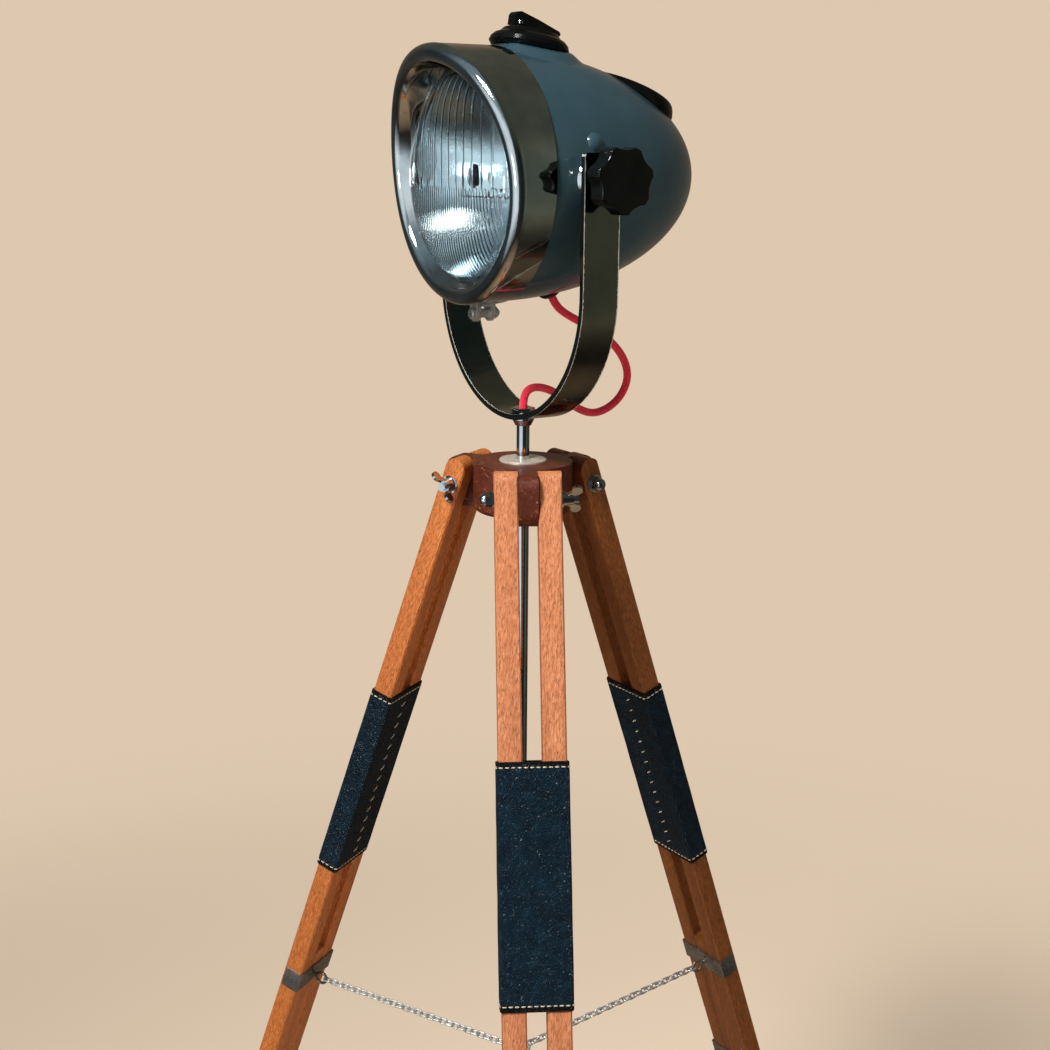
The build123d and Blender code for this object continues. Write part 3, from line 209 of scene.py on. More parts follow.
def soft_lamp(name, place, target, width, height, power, colour, mirrored=False, spread=pi):
    """A rectangle of light that isn't seen itself; bright metal and glass show it if it is mirrored."""
    lamp = bpy.data.lights.new(name, "AREA")
    lamp.spread = spread
    lamp.shape = "RECTANGLE"
    lamp.size, lamp.size_y = width, height
    lamp.energy = power
    lamp.color = colour
    stand = link(bpy.data.objects.new(name, lamp))
    stand.location = place
    stand.rotation_euler = (Vector(target) - Vector(place)).to_track_quat("-Z", "Y").to_euler()
    stand.visible_camera = False
    stand.visible_glossy = mirrored
    stand.visible_transmission = mirrored


soft_lamp("key", (-1.35, -1.4, 3.3), (0, 0.1, 1.15), 0.7, 0.7, 28, (1, 0.97, 0.93), mirrored=True,
          spread=radians(84))
soft_lamp("window", (-1.35, -1.4, 1.08), (0, 0.1, 1.2), 0.24, 0.4, 4, (0.93, 0.98, 1), mirrored=True)
soft_lamp("fill", (2.4, -1.5, 1.6), (0, 0.1, 0.9), 1.0, 1.6, 6, (0.93, 0.97, 1))
soft_lamp("back", (1.6, 2.2, 2.4), (0, 0.1, 1.0), 1.2, 0.8, 24, (1, 0.95, 0.88))

CAMERA_PLACE = Vector((-0.0872, -1.1758, 0.2561))    # from the column's axis, at the leg bolts' height
CAMERA_YAW, CAMERA_PITCH, CAMERA_ROLL = -4.34, -13.73, 0.45
CAMERA_VIEW = 37.16
column_axis = Vector(joints["yoke_pan"]["pos_m"])
bolt_height = joints["leg_1_fold"]["pos_m"][2]
camera = link(bpy.data.objects.new("camera", bpy.data.cameras.new("camera")))
camera.data.angle = radians(CAMERA_VIEW)
camera.matrix_world = (
    Matrix.Translation(Vector((column_axis.x, column_axis.y, bolt_height)) + CAMERA_PLACE)
    @ Matrix.Rotation(radians(CAMERA_YAW), 4, "Z")
    @ Matrix.Rotation(radians(90 + CAMERA_PITCH), 4, "X")
    @ Matrix.Rotation(radians(CAMERA_ROLL), 4, "Z"))
bpy.context.scene.camera = camera
bpy.context.scene.view_settings.view_transform = "Standard"


# ---------------------------------------------------------------- cords
# Flex of 6.2 mm in a braided crimson textile cover, from the head's gland behind the arm into the
# tube, out at the tube's foot through a rubber strain relief, and down to a coil on the floor with
# a hook-and-loop tie round it and a two-pin plug beside it.
CORD_DIAMETER = 0.0062
BRAID_PITCH = 0.0021
BRAID_RIBS = 16
SIDEWAYS = Vector(joints["head_tilt"]["axis"])      # along the tilt axis, towards the right knob
FORWARD = SIDEWAYS.cross(Vector((0, 0, 1)))         # the way the lamp looks
HEAD = Matrix.LocRotScale(joints["head_tilt"]["pos_m"],
                          Matrix((FORWARD, SIDEWAYS, (0, 0, 1))).transposed(), None)
# millimetres forward, sideways and up from the tilt axis, after the gland's mouth
GLAND_POINTS = ((-24.05, 0, -87.61), (-28, 0, -95.7))
LOOP_ROUTE = (
    (-38, 0.4, -103.2), (-57, 1.5, -112.5), (-75, 2.5, -122.5), (-91, 2, -138), (-98, 0.5, -154.5),
    (-93.5, -1.5, -169.5), (-81.5, -2.5, -179.5), (-65.5, -2, -183), (-49, -1, -176.5),
    (-34, 0, -165.5), (-19, 0.5, -158), (-6.5, 0.3, -156.8), (0, 0, -163),
)
# millimetres from the column's axis and above the floor
LEAD_ROUTE = (
    (0, 0, 705), (1.2, 0.6, 622), (-0.6, 1.4, 540), (1.8, -0.8, 455), (2.8, 0.6, 368),
    (2.2, 2.8, 283), (4.5, 3, 200), (4, 7.5, 128), (7, 17, 76), (13, 38, 37), (24, 70, 11),
    (42, 107, 3.3), (45, 148, 3.3), (27, 190, 3.3), (6, 230, 3.3), (9, 264, 3.3), (27, 287.3, 3.3),
)
COIL_CENTRE = (66, 262)
# degrees round the coil from where the lead comes in, radius and height
COIL_TURNS = (
    (0, 37.2, 3.3), (30, 30.9, 4.1), (320, 30.7, 4.1), (375, 30.7, 10.5), (680, 30.7, 10.5),
    (735, 30.7, 16.9), (1040, 30.7, 16.9), (1095, 37.3, 16.9), (1180, 37.3, 4.1), (1370, 37.3, 4.1),
    (1405, 37.3, 10.5), (1440, 37.3, 10.5), (1460, 37.3, 8.9), (1480, 37.3, 5.6),
)
COIL_ENTRY, COIL_STEP = 110, 20      # degrees
TAIL_ROUTE = ((105, 283, 3.3), (124, 256, 3.3), (131, 226, 6.5), (130, 200, 14.5), (130, 186, 17.2),
              (130, 168, 17.2))


def coil_points():
    """Points at equal steps round the coil, clockwise seen from above."""
    found = []
    for at in range(0, COIL_TURNS[-1][0] + 1, COIL_STEP):
        before, after = next((a, b) for a, b in zip(COIL_TURNS, COIL_TURNS[1:]) if a[0] <= at <= b[0])
        share = (at - before[0]) / (after[0] - before[0])
        radius, height = (before[i] + share * (after[i] - before[i]) for i in (1, 2))
        angle = radians(COIL_ENTRY - at)
        found.append((COIL_CENTRE[0] + radius * cos(angle), COIL_CENTRE[1] + radius * sin(angle),
                      height))
    return found


def finish(name):
    """A new material for one finish."""
    made = bpy.data.materials.new(name)
    made.use_nodes = True
    return made


def shade(made, inputs):
    """Gives a material's shader these inputs."""
    fill_in(made, made.node_tree.nodes["Principled BSDF"], inputs)


def spots(made, where, scale, detail=3.0, rough=0.5, distortion=0.0):
    """Noise from 0 to 1."""
    return add(made, "TexNoise", {"Vector": where, "Scale": scale, "Detail": detail, "Roughness": rough,
                                  "Distortion": distortion}).outputs[0]


def bumped(made, height, distance, strength=1.0):
    """A face made uneven by this height, in metres."""
    return add(made, "Bump", {"Height": height, "Distance": distance, "Strength": strength}).outputs[0]


def here(made, size=(1, 1, 1), place=(0, 0, 0), turn=(0, 0, 0)):
    """Object coordinates in a frame of its own, stretched to these sizes."""
    where = add(made, "TexCoord").outputs["Object"]
    node = add(made, "Mapping", {"Vector": where, "Location": place, "Rotation": turn, "Scale": size},
               vector_type="TEXTURE")
    return node.outputs[0]


# the cover's crimson, with a painted shade for the grooves and a painted highlight for the ribs' crests
CRIMSON_GROOVE_SHADE, CRIMSON, CRIMSON_RIB_HIGHLIGHT = tone(96, 0, 16), tone(214, 8, 44), tone(248, 30, 74)
LINT = tone(240, 80, 104)


def braided(name, length):
    """Crimson yarns plaited in lengthwise ribs, with fine slanted crossings; the colour follows the ribs'
    height, as painted shade in the grooves and a painted highlight on the crests.
    """
    made = finish(name)
    run = add(made, "SeparateXYZ", {0: add(made, "TexCoord").outputs["UV"]}).outputs
    along = calc(made, "MULTIPLY", run["X"], length / BRAID_PITCH)
    ribs = calc(made, "MULTIPLY", run["Y"], BRAID_RIBS)
    rib = calc(made, "ABSOLUTE", calc(made, "SINE", calc(made, "MULTIPLY", ribs, pi)))
    slanted = calc(made, "MULTIPLY", calc(made, "ADD", ribs, along), pi)
    lean = calc(made, "ABSOLUTE", calc(made, "SINE", slanted))
    height = calc(made, "MULTIPLY_ADD", rib, 0.7, calc(made, "MULTIPLY", lean, 0.3))
    lint = spots(made, here(made), 900)
    # painted shade and highlight: the ribs' height makes the cover darkest in the grooves and brightest on
    # the crests
    colour = ramp(made, height, (0.05, CRIMSON_GROOVE_SHADE), (0.45, CRIMSON), (1, CRIMSON_RIB_HIGHLIGHT))
    shade(made, {"Base Color": mixed(made, calc(made, "MULTIPLY", lint, 0.25), colour, LINT),
                 "Roughness": 0.7, "Sheen Weight": 0.2, "Specular IOR Level": 0.35,
                 "Normal": bumped(made, height, 0.0005, 0.9)})
    return made


def cord_piece(name, points):
    """A cord's tube, the line it follows as points close together, and its length."""
    drawn_out = []
    for thick in (0, CORD_DIAMETER / 2):
        line = bpy.data.curves.new(name, "CURVE")
        line.dimensions = "3D"
        line.resolution_u = 8
        line.bevel_depth = thick
        line.bevel_resolution = 4
        line.use_fill_caps = True
        spline = line.splines.new("NURBS")
        spline.points.add(len(points) - 1)
        for place, point in zip(spline.points, points):
            place.co = (*point, 1)
        spline.order_u = 3
        spline.use_endpoint_u = True
        drawn = link(bpy.data.objects.new(name + "_line", line))
        graph = bpy.context.evaluated_depsgraph_get()
        drawn_out.append(bpy.data.meshes.new_from_object(drawn.evaluated_get(graph)))
        bpy.data.objects.remove(drawn)
    middle, tube = drawn_out
    track = [vertex.co.copy() for vertex in middle.vertices]
    length = sum((b - a).length for a, b in zip(track, track[1:]))
    tube.shade_smooth()
    tube.materials.append(braided(name, length))
    return link(bpy.data.objects.new(name, tube)), track, length


def in_head(*point):
    """The place of a point given in millimetres from the tilt axis, in the head's directions."""
    return HEAD @ (Vector(point) / 1000)


def on_floor(*point):
    """The place of a point given in millimetres from the column's axis and above the floor."""
    return Vector((column_axis.x, column_axis.y, 0)) + Vector(point) / 1000


gland_mouth = in_head(*GLAND_POINTS[0])
tube_top = Vector((column_axis.x, column_axis.y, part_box("column_tube")[1].z))
tube_foot = Vector((column_axis.x, column_axis.y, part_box("tube_end_bush")[0].z))
loop_points = [in_head(*point) for point in (*GLAND_POINTS, *LOOP_ROUTE)]
loop, loop_track, loop_length = cord_piece("loop_cord_cover", [*loop_points, tube_top])
lead_points = [on_floor(*point) for point in (*LEAD_ROUTE, *coil_points(), *TAIL_ROUTE)]
lead, lead_track, lead_length = cord_piece("mains_cord_cover", [tube_foot, *lead_points])

tie_black = finish("tie_fabric")
loops = spots(tie_black, here(tie_black), 1400, 4)
shade(tie_black, {"Base Color": ramp(tie_black, loops, (0.3, tone(14, 14, 15)), (0.7, tone(38, 38, 40))),
                  "Roughness": 0.95, "Normal": bumped(tie_black, loops, 0.0003)})


TIE_INNER, TIE_OUTER, TIE_LOW, TIE_HIGH = 27.0, 41.0, 0.05, 20.6
TIE_ROUND, TIE_CORNER_STEPS, TIE_HEADING = 3, 4, 200
# the strap's section, as places across it and distances out from the corners' centres
TIE_SECTION = ((-7, 2.3), (-6.6, 2.1), (6.6, 2.1), (7, 2.3), (7, 2.8), (6.6, 3), (-6.6, 3), (-7, 2.8))


def ring_faces(shape, rings):
    """Faces from each ring of vertices to the next."""
    for a, b in zip(rings, rings[1:]):
        for corners in zip(a, a[1:] + a[:1], b[1:] + b[:1], b):
            shape.faces.new(corners)


def tie_strap():
    """A soft-edged band bent round the coil's cords at four corners."""
    shape = bmesh.new()
    near, far = TIE_INNER + TIE_ROUND, TIE_OUTER - TIE_ROUND
    low, high = TIE_LOW + TIE_ROUND, TIE_HIGH - TIE_ROUND
    rings = []
    for across, reach in TIE_SECTION:
        ring = []
        for index, (x, z) in enumerate(((near, low), (far, low), (far, high), (near, high))):
            for step in range(TIE_CORNER_STEPS + 1):
                angle = radians(180 + 90 * (index + step / TIE_CORNER_STEPS))
                ring.append(shape.verts.new((x + reach * cos(angle), across, z + reach * sin(angle))))
        rings.append(ring)
    ring_faces(shape, rings + rings[:1])
    return shape


tie = mesh_piece("coil_tie", tie_strap(), tie_black)
tie.data.transform(Matrix.Translation(on_floor(*COIL_CENTRE, 0))
                   @ Matrix.Rotation(radians(TIE_HEADING), 4, "Z") @ Matrix.Scale(0.001, 4))


def lathe(shape, outline, place=Matrix(), count=48):
    """Turns a (radius, height) outline about Z, in millimetres, with its seam and poles closed."""
    others = set(shape.verts)
    line = [shape.verts.new((radius, 0, height)) for radius, height in outline]
    edges = [shape.edges.new(pair) for pair in zip(line, line[1:])]
    bmesh.ops.spin(shape, geom=line + edges, cent=(0, 0, 0), axis=(0, 0, 1), angle=2 * pi, steps=count,
                   use_merge=True)
    bmesh.ops.remove_doubles(shape, verts=[v for v in shape.verts if v not in others], dist=0.0001)
    turned = [v for v in shape.verts if v not in others]
    bmesh.ops.transform(shape, matrix=place, verts=turned)
    return turned


def dressed(made, *nodes):
    """The lamp's own pieces, in this finish."""
    for name in nodes:
        for slot in bpy.data.objects[name].material_slots:
            slot.material = made


def metal(name, dark, light, roughness, wear, grain=260, metallic=1.0):
    """Plated or bare metal with faint patches, fine wear and a slightly uneven face."""
    made = finish(name)
    where = here(made)
    patches = spots(made, where, grain / 6, 4, 0.6)
    fine = spots(made, where, grain, 5, 0.6)
    level = calc(made, "MULTIPLY_ADD", fine, wear, roughness - wear / 2)
    shade(made, {"Base Color": ramp(made, patches, (0.3, dark), (0.7, light)), "Metallic": metallic,
                 "Roughness": level, "Normal": bumped(made, fine, 0.00004, 0.4)})
    return made


black_rubber = finish("black_rubber")
dust = spots(black_rubber, here(black_rubber), 320, 5)
rubber_tones = ramp(black_rubber, dust, (0.3, tone(18, 18, 19)), (0.75, tone(42, 41, 40)))
shade(black_rubber, {"Base Color": rubber_tones, "Roughness": 0.62,
                     "Normal": bumped(black_rubber, dust, 0.0001)})
dressed(black_rubber, "plug", "cable_gland", "leg_1_foot", "leg_2_foot", "leg_3_foot", "lens_gasket")

# a tapering rubber sleeve with grooves, which hangs from the tube's foot round the lead
RELIEF_LENGTH, RELIEF_RADIUS, RELIEF_BORE = 26, 5.4, 3.2
GROOVES, GROOVE_STEP, GROOVE_DEEP, GROOVE_TAPER = 5, 4.4, 0.7, 0.32
relief_outline = [(RELIEF_BORE, 0), (RELIEF_RADIUS, 0)]
for groove in range(GROOVES):
    low = -3 - groove * GROOVE_STEP
    wall = RELIEF_RADIUS - groove * GROOVE_TAPER
    relief_outline += [(wall, low + 0.6), (wall - GROOVE_DEEP, low), (wall - GROOVE_DEEP, low - 1.2),
                       (wall - 0.3, low - 1.8)]
relief_outline += [(3.9, 0.5 - RELIEF_LENGTH), (3.6, -RELIEF_LENGTH), (RELIEF_BORE, -RELIEF_LENGTH)]
relief_shape = bmesh.new()
lathe(relief_shape, relief_outline)
relief = mesh_piece("strain_relief", relief_shape, black_rubber)
relief.data.transform(Matrix.Translation(tube_foot) @ Matrix.Scale(0.001, 4))
dressed(bpy.data.materials["loop_cord_cover"], "cord_in_tube")

# two brass pins with rounded tips, proud of the plug's face
PIN_SPACING, PIN_LENGTH, PIN_RADIUS, PLUG_LENGTH = 19, 19, 2.5, 60
pin_metal = metal("pin_metal", tone(176, 150, 96), tone(214, 190, 132), 0.25, 0.15)
pins_shape = bmesh.new()
for side in (-1, 1):
    pin_outline = ((0, PIN_LENGTH + 0.2), (PIN_RADIUS - 0.9, PIN_LENGTH + 0.2),
                   (PIN_RADIUS, PIN_LENGTH - 1), (PIN_RADIUS, 0), (0, 0))
    lathe(pins_shape, pin_outline, Matrix.Translation((side * PIN_SPACING / 2, 0, PLUG_LENGTH)), 24)
pins = mesh_piece("plug_pins", pins_shape, pin_metal)
pins.data.transform(Matrix.Translation(on_floor(*TAIL_ROUTE[-1])) @ Matrix.Rotation(radians(90), 4, "X")
                    @ Matrix.Rotation(radians(90), 4, "Z") @ Matrix.Scale(0.001, 4))
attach(pins, "hub")
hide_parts("loop_cord")
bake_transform(loop, "yoke", "head", tube_top, gland_mouth)
# Every ring of the tube follows as one, by its place along the cord, so the cord stays round.
run, places = 0.0, [(loop_track[0], 0.0)]
for before, point in zip(loop_track, loop_track[1:]):
    run += (point - before).length
    places.append((point, run))
follows = loop.data.attributes["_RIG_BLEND"].data
for vertex in loop.data.vertices:
    nearest = min(places, key=lambda place: (place[0] - vertex.co).length_squared)
    share = 1 - nearest[1] / run
    eased = share * share * (3 - 2 * share)
    follows[vertex.index].value = 0.5 * share + 0.5 * eased
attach(tie, "hub")
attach(relief, "column")
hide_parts("mains_cord", "cord_coil")
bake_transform(lead, "hub", "column", on_floor(0, 0, 80), tube_foot)


# ---------------------------------------------------------------- wood
# Each leg is two bars of a warm orange-brown hardwood, 17.5 x 17 mm, with dense short flecks, and a
# thinner bar sliding between them. The hub is the same wood, darker, redder and scratched.
SCRATCHED = tone(186, 112, 76)


def wood(name, dark, middle, light, place, turn, worn=0.0):
    """Varnished wood whose grain runs along the local Z, flecked all over."""
    made = finish(name)
    where = here(made, (1, 1, 9), place, turn)
    growth = {"Vector": where, "Scale": 17.0, "Distortion": 9.0, "Detail": 3.0, "Detail Scale": 1.4}
    rings = add(made, "TexWave", growth, wave_type="BANDS", bands_direction="X").outputs["Fac"]
    tint = spots(made, where, 40, 3)
    leaning = (turn[0], turn[1] + 0.12, turn[2])
    flecks = spots(made, here(made, (1, 1, 5), place, leaning), 900, 3, 0.6, 0.4)
    pores = spots(made, here(made, (1, 1, 5), place, leaning), 1500, 2)
    colour = ramp(made, flecks, (0.28, dark), (0.5, middle), (0.74, light))
    colour = mixed(made, calc(made, "MULTIPLY", rings, 0.28), colour, dark)
    colour = mixed(made, calc(made, "MULTIPLY", tint, 0.3), colour, middle)
    dashes = ramp(made, pores, (0.33, (1, 1, 1)), (0.42, (0, 0, 0)))
    pore_tone = tuple(0.3 * value for value in dark)
    colour = mixed(made, calc(made, "MULTIPLY", dashes, 0.55), colour, pore_tone)
    if worn:    # pale scratches through the varnish
        scars = spots(made, here(made, (1, 7, 1), place, (0.4, 0.2, 0.9)), 300, 3, 0.6, 2.0)
        marks = ramp(made, scars, (0.63, (0, 0, 0)), (0.68, (1, 1, 1)))
        colour = mixed(made, calc(made, "MULTIPLY", marks, worn), colour, SCRATCHED)
    height = calc(made, "MULTIPLY_ADD", dashes, -1.0, flecks)
    shade(made, {"Base Color": colour, "Roughness": calc(made, "MULTIPLY_ADD", flecks, 0.25, 0.28),
                 "Specular IOR Level": 0.35, "Coat Weight": 0.12, "Coat Roughness": 0.2,
                 "Normal": bumped(made, height, 0.00015, 0.6)})
    return made


def leg_place(number):
    """Where a leg's bolt is, and how the leg lies: its Z runs up it and its Y inward."""
    bolt = Vector(joints[f"leg_{number}_fold"]["pos_m"])
    out = bolt - column_axis
    lean = acos(abs(Vector(joints[f"leg_{number}_extend"]["axis"]).normalized().z))
    return bolt, Euler((-lean, 0, atan2(out.x, -out.y)))


# each leg's dark, middle and light tones, lit and shaded copies of one wood: the third leg's are painted
# shade, much darker than the others
LEG_TONES_WITH_PAINTED_SHADE = {1: (tone(146, 84, 50), tone(198, 126, 86), tone(226, 162, 120)),
          2: (tone(136, 68, 26), tone(194, 112, 54), tone(222, 148, 84)),
          3: (tone(88, 44, 16), tone(134, 76, 32), tone(164, 102, 52))}
for number, tones in LEG_TONES_WITH_PAINTED_SHADE.items():
    bolt, lie = leg_place(number)
    bars = wood(f"leg_{number}_wood", *tones, bolt, lie)
    dressed(bars, f"leg_{number}_bars", f"leg_{number}_lower_bar")
dressed(wood("hub_wood", tone(48, 18, 10), tone(88, 38, 23), tone(118, 56, 36),
             (column_axis.x, column_axis.y, bolt_height), (radians(90), 0, 0.3), 0.75), "hub")


# ---------------------------------------------------------------- leather sleeves
# A dark navy hide sleeve of 1.9 mm is laced round the two bars of each leg, 177 mm long, with cream
# stitches 4 mm from its ends and slanted ones down the seam on the leg's inner face.
SLEEVE_TOP, SLEEVE_END = -192.0, -369.0
SLEEVE_HALF, SLEEVE_DEEP, SLEEVE_CORNER = 26.9, 10.4, 3.2
LEATHER = 1.9
HEM = 4.2                                   # from the edge to the stitches
LEVEL_STEP, OUTLINE_STEP, CORNER_STEPS = 2.4, 2.2, 5
EDGE_ROUND, STITCH_PINCH, LUMPS = 0.55, 0.35, 0.22      # how far the hide draws in
LUMP_WIDE, LUMP_LONG = 17, 22
STITCH_STEP, STITCH_LENGTH, STITCH_WIDTH = 4.5, 3.3, 1.1
STITCH_ARCH, STITCH_SUNK, STITCH_FLAT = 0.42, 0.18, 0.42
SEAM_STITCHES, SEAM_LENGTH, SEAM_WIDTH = 15, 7.5, 1.2
SEAM_SLANT = Vector((-0.83, 0, 0.55))


def sleeve_outline(grow=0.0):
    """Points round a sleeve, about 2 mm apart, as (place, outward direction)."""
    found = []
    a, b = SLEEVE_HALF - SLEEVE_CORNER, SLEEVE_DEEP - SLEEVE_CORNER
    corners = ((a, b, 0), (-a, b, 90), (-a, -b, 180), (a, -b, 270))
    for index, (x, y, start) in enumerate(corners):
        for step in range(CORNER_STEPS + 1):
            angle = radians(start + 90 * step / CORNER_STEPS)
            out = Vector((cos(angle), sin(angle)))
            found.append((Vector((x, y)) + (SLEEVE_CORNER + grow) * out, out))
        after = corners[(index + 1) % 4]
        out = Vector((cos(radians(start + 90)), sin(radians(start + 90))))
        first = Vector((x, y)) + (SLEEVE_CORNER + grow) * out
        last = Vector(after[:2]) + (SLEEVE_CORNER + grow) * out
        count = max(1, round((last - first).length / OUTLINE_STEP))
        found += [(first.lerp(last, step / count), out) for step in range(1, count)]
    return found


hide = finish("navy_hide")
pebble = add(hide, "TexVoronoi", {"Vector": here(hide), "Scale": 750.0, "Randomness": 1.0},
             feature="DISTANCE_TO_EDGE").outputs["Distance"]
crease = spots(hide, here(hide), 130, 4, 0.6)
rise = calc(hide, "ADD", calc(hide, "MINIMUM", calc(hide, "MULTIPLY", pebble, 3.0), 1.0), crease)
hem = add(hide, "Attribute", attribute_name="hem").outputs["Fac"]
skin = ramp(hide, crease, (0.25, tone(4, 19, 30)), (0.6, tone(6, 35, 51)), (0.85, tone(14, 53, 71)))
shade(hide, {"Base Color": mixed(hide, hem, skin, tone(9, 9, 11)),
             "Roughness": calc(hide, "MULTIPLY_ADD", crease, 0.2, 0.3),
             "Specular IOR Level": 0.24, "Normal": bumped(hide, rise, 0.0006, 1.0)})
thread = finish("cream_thread")
twist = add(thread, "TexWave", {"Vector": here(thread), "Scale": 420.0, "Distortion": 1.5},
            bands_direction="DIAGONAL").outputs["Fac"]
shade(thread, {"Base Color": ramp(thread, twist, (0.1, tone(168, 150, 122)), (0.7, tone(232, 220, 196))),
               "Roughness": 0.8, "Normal": bumped(thread, twist, 0.0002)})


def sleeve_shape(seed):
    """A closed tube of hide: outer face, rolled ends and inner face, slightly uneven."""
    shape = bmesh.new()
    outer = sleeve_outline()
    inner = sleeve_outline(-LEATHER)
    length = SLEEVE_TOP - SLEEVE_END
    even = [i * LEVEL_STEP for i in range(int(length / LEVEL_STEP) + 1)]
    levels = sorted({*even, 0.3, 1.0, length - 1.0, length - 0.3, length})
    marks = shape.verts.layers.float.new("hem")
    rows = []
    for level in levels:
        edge = min(level, length - level)
        round_off = EDGE_ROUND * max(0.0, 1 - edge) ** 2
        pinch = STITCH_PINCH * exp(-((edge - HEM) / 1.1) ** 2)
        row = []
        for place, out in outer:
            lump = noise.noise(Vector((place.x / LUMP_WIDE, place.y / LUMP_WIDE,
                                       level / LUMP_LONG + 9 * seed)))
            at = place - out * (round_off + pinch + LUMPS * (1 + lump))
            vertex = shape.verts.new((at.x, at.y, SLEEVE_END + level))
            vertex[marks] = 1.0 if edge < HEM - 0.9 else 0.0
            row.append(vertex)
        rows.append(row)
    for level in (length, 0.0):
        row = []
        for place, out in inner:
            vertex = shape.verts.new((place.x, place.y, SLEEVE_END + level))
            vertex[marks] = 1.0
            row.append(vertex)
        rows.append(row)
    ring_faces(shape, rows + rows[:1])
    return shape


def stitch(shape, middle, along, out, length, width):
    """One stitch: a flattened spindle of thread, arched so that its ends sink into the hide."""
    side = along.cross(out)
    rings = []
    for share, size in ((-1, 0.25), (-0.7, 0.85), (0, 1.0), (0.7, 0.85), (1, 0.25)):
        lift = STITCH_ARCH * (1 - share * share) - STITCH_SUNK
        centre = middle + along * (share * length / 2) + out * lift
        rings.append([shape.verts.new(centre + side * (cos(angle) * width / 2 * size)
                                      + out * (sin(angle) * width * STITCH_FLAT * size))
                      for angle in (radians(60 * step) for step in range(6))])
    ring_faces(shape, rings)
    shape.faces.new(rings[0])
    shape.faces.new(rings[-1])


def stitches_shape():
    """A row of stitches round each end, and slanted ones down the seam."""
    shape = bmesh.new()
    outline = sleeve_outline(-0.4)
    ring = [place for place, _ in outline] + [outline[0][0]]
    outs = [out for _, out in outline] + [outline[0][1]]
    lengths = [(b - a).length for a, b in zip(ring, ring[1:])]
    total = sum(lengths)
    count = round(total / STITCH_STEP)
    for level in (SLEEVE_TOP - HEM, SLEEVE_END + HEM):
        for index in range(count):
            left = total * (index + 0.5) / count
            at = 0
            while left > lengths[at]:
                left -= lengths[at]
                at += 1
            share = left / lengths[at]
            place = ring[at].lerp(ring[at + 1], share)
            out = outs[at].lerp(outs[at + 1], share).normalized()
            stitch(shape, Vector((*place, level)), Vector((-out.y, out.x, 0)), Vector((*out, 0)),
                   STITCH_LENGTH, STITCH_WIDTH)
    span = SLEEVE_TOP - SLEEVE_END - 4 * HEM
    for index in range(SEAM_STITCHES):
        level = SLEEVE_END + 2 * HEM + span * (index + 0.5) / SEAM_STITCHES
        stitch(shape, Vector((0, SLEEVE_DEEP - 0.4, level)), SEAM_SLANT, Vector((0, 1, 0)),
               SEAM_LENGTH, SEAM_WIDTH)
    return shape


for number in (1, 2, 3):
    bolt, lie = leg_place(number)
    along_leg = Matrix.Translation(bolt) @ lie.to_matrix().to_4x4() @ Matrix.Scale(0.001, 4)
    leather = mesh_piece(f"leg_{number}_leather", sleeve_shape(number), hide)
    sewing = mesh_piece(f"leg_{number}_stitches", stitches_shape(), thread)
    for piece in (leather, sewing):
        piece.data.transform(along_leg)
        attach(piece, f"leg_{number}")
    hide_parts(f"leg_{number}_sleeve")


# ---------------------------------------------------------------- tripod's fittings
# Grey sheet-steel bands held round the bars by nails, bright zinc chains to a small ring between
# the legs, and nickel-plated bolts, acorn nuts and wing screws. A satin metal plate closes the hub's
# top; its warm cream tone is a painted reflection of warm surroundings.
sheet_steel = metal("sheet_steel", tone(118, 118, 116), tone(158, 158, 156), 0.26, 0.2, grain=200,
                    metallic=0.8)
zinc = metal("zinc", tone(176, 180, 180), tone(214, 217, 217), 0.28, 0.2, grain=320, metallic=0.6)
nickel = metal("nickel", tone(186, 190, 190), tone(222, 225, 225), 0.12, 0.1)
for number in (1, 2, 3):
    dressed(sheet_steel, f"leg_{number}_straps")
    dressed(zinc, f"leg_{number}_chain")
    dressed(nickel, f"leg_{number}_wing_nut", f"leg_{number}_clamp_wing")
dressed(zinc, "spreader_ring")
dressed(nickel, "leg_bolts", "column_lock_screw")
# painted reflection: the plate's cream tone stands in for the warm surroundings it mirrors, on a satin metal
plate_with_painted_reflection = metal("plate_with_painted_reflection", tone(206, 198, 184), tone(230, 222, 208), 0.3, 0.15, metallic=0.5)
dressed(plate_with_painted_reflection, "hub_bushing")


# ---------------------------------------------------------------- column and yoke
# A chrome-plated tube stands in the hub, and two nuts clamp the yoke on its upper end. The yoke is a
# flat steel strap 30 mm wide, bent to a U, in black nickel, with a painted highlight: a pale, uneven band
# along its edges.
chrome = metal("chrome", tone(196, 200, 200), tone(226, 229, 230), 0.06, 0.05)
dressed(chrome, "column_tube", "tube_end_bush", "yoke_nuts")
STRAP_HALF = 0.015
EDGE_PAINTED_HIGHLIGHT = tone(206, 208, 204)
black_nickel = metal("black_nickel", tone(138, 138, 130), tone(160, 158, 146), 0.09, 0.06)
in_line = here(black_nickel, place=joints["head_tilt"]["pos_m"],
               turn=(0, 0, atan2(FORWARD.y, FORWARD.x)))
across = add(black_nickel, "SeparateXYZ", {0: in_line}).outputs["X"]
from_edge = calc(black_nickel, "SUBTRACT", STRAP_HALF, calc(black_nickel, "ABSOLUTE", across))
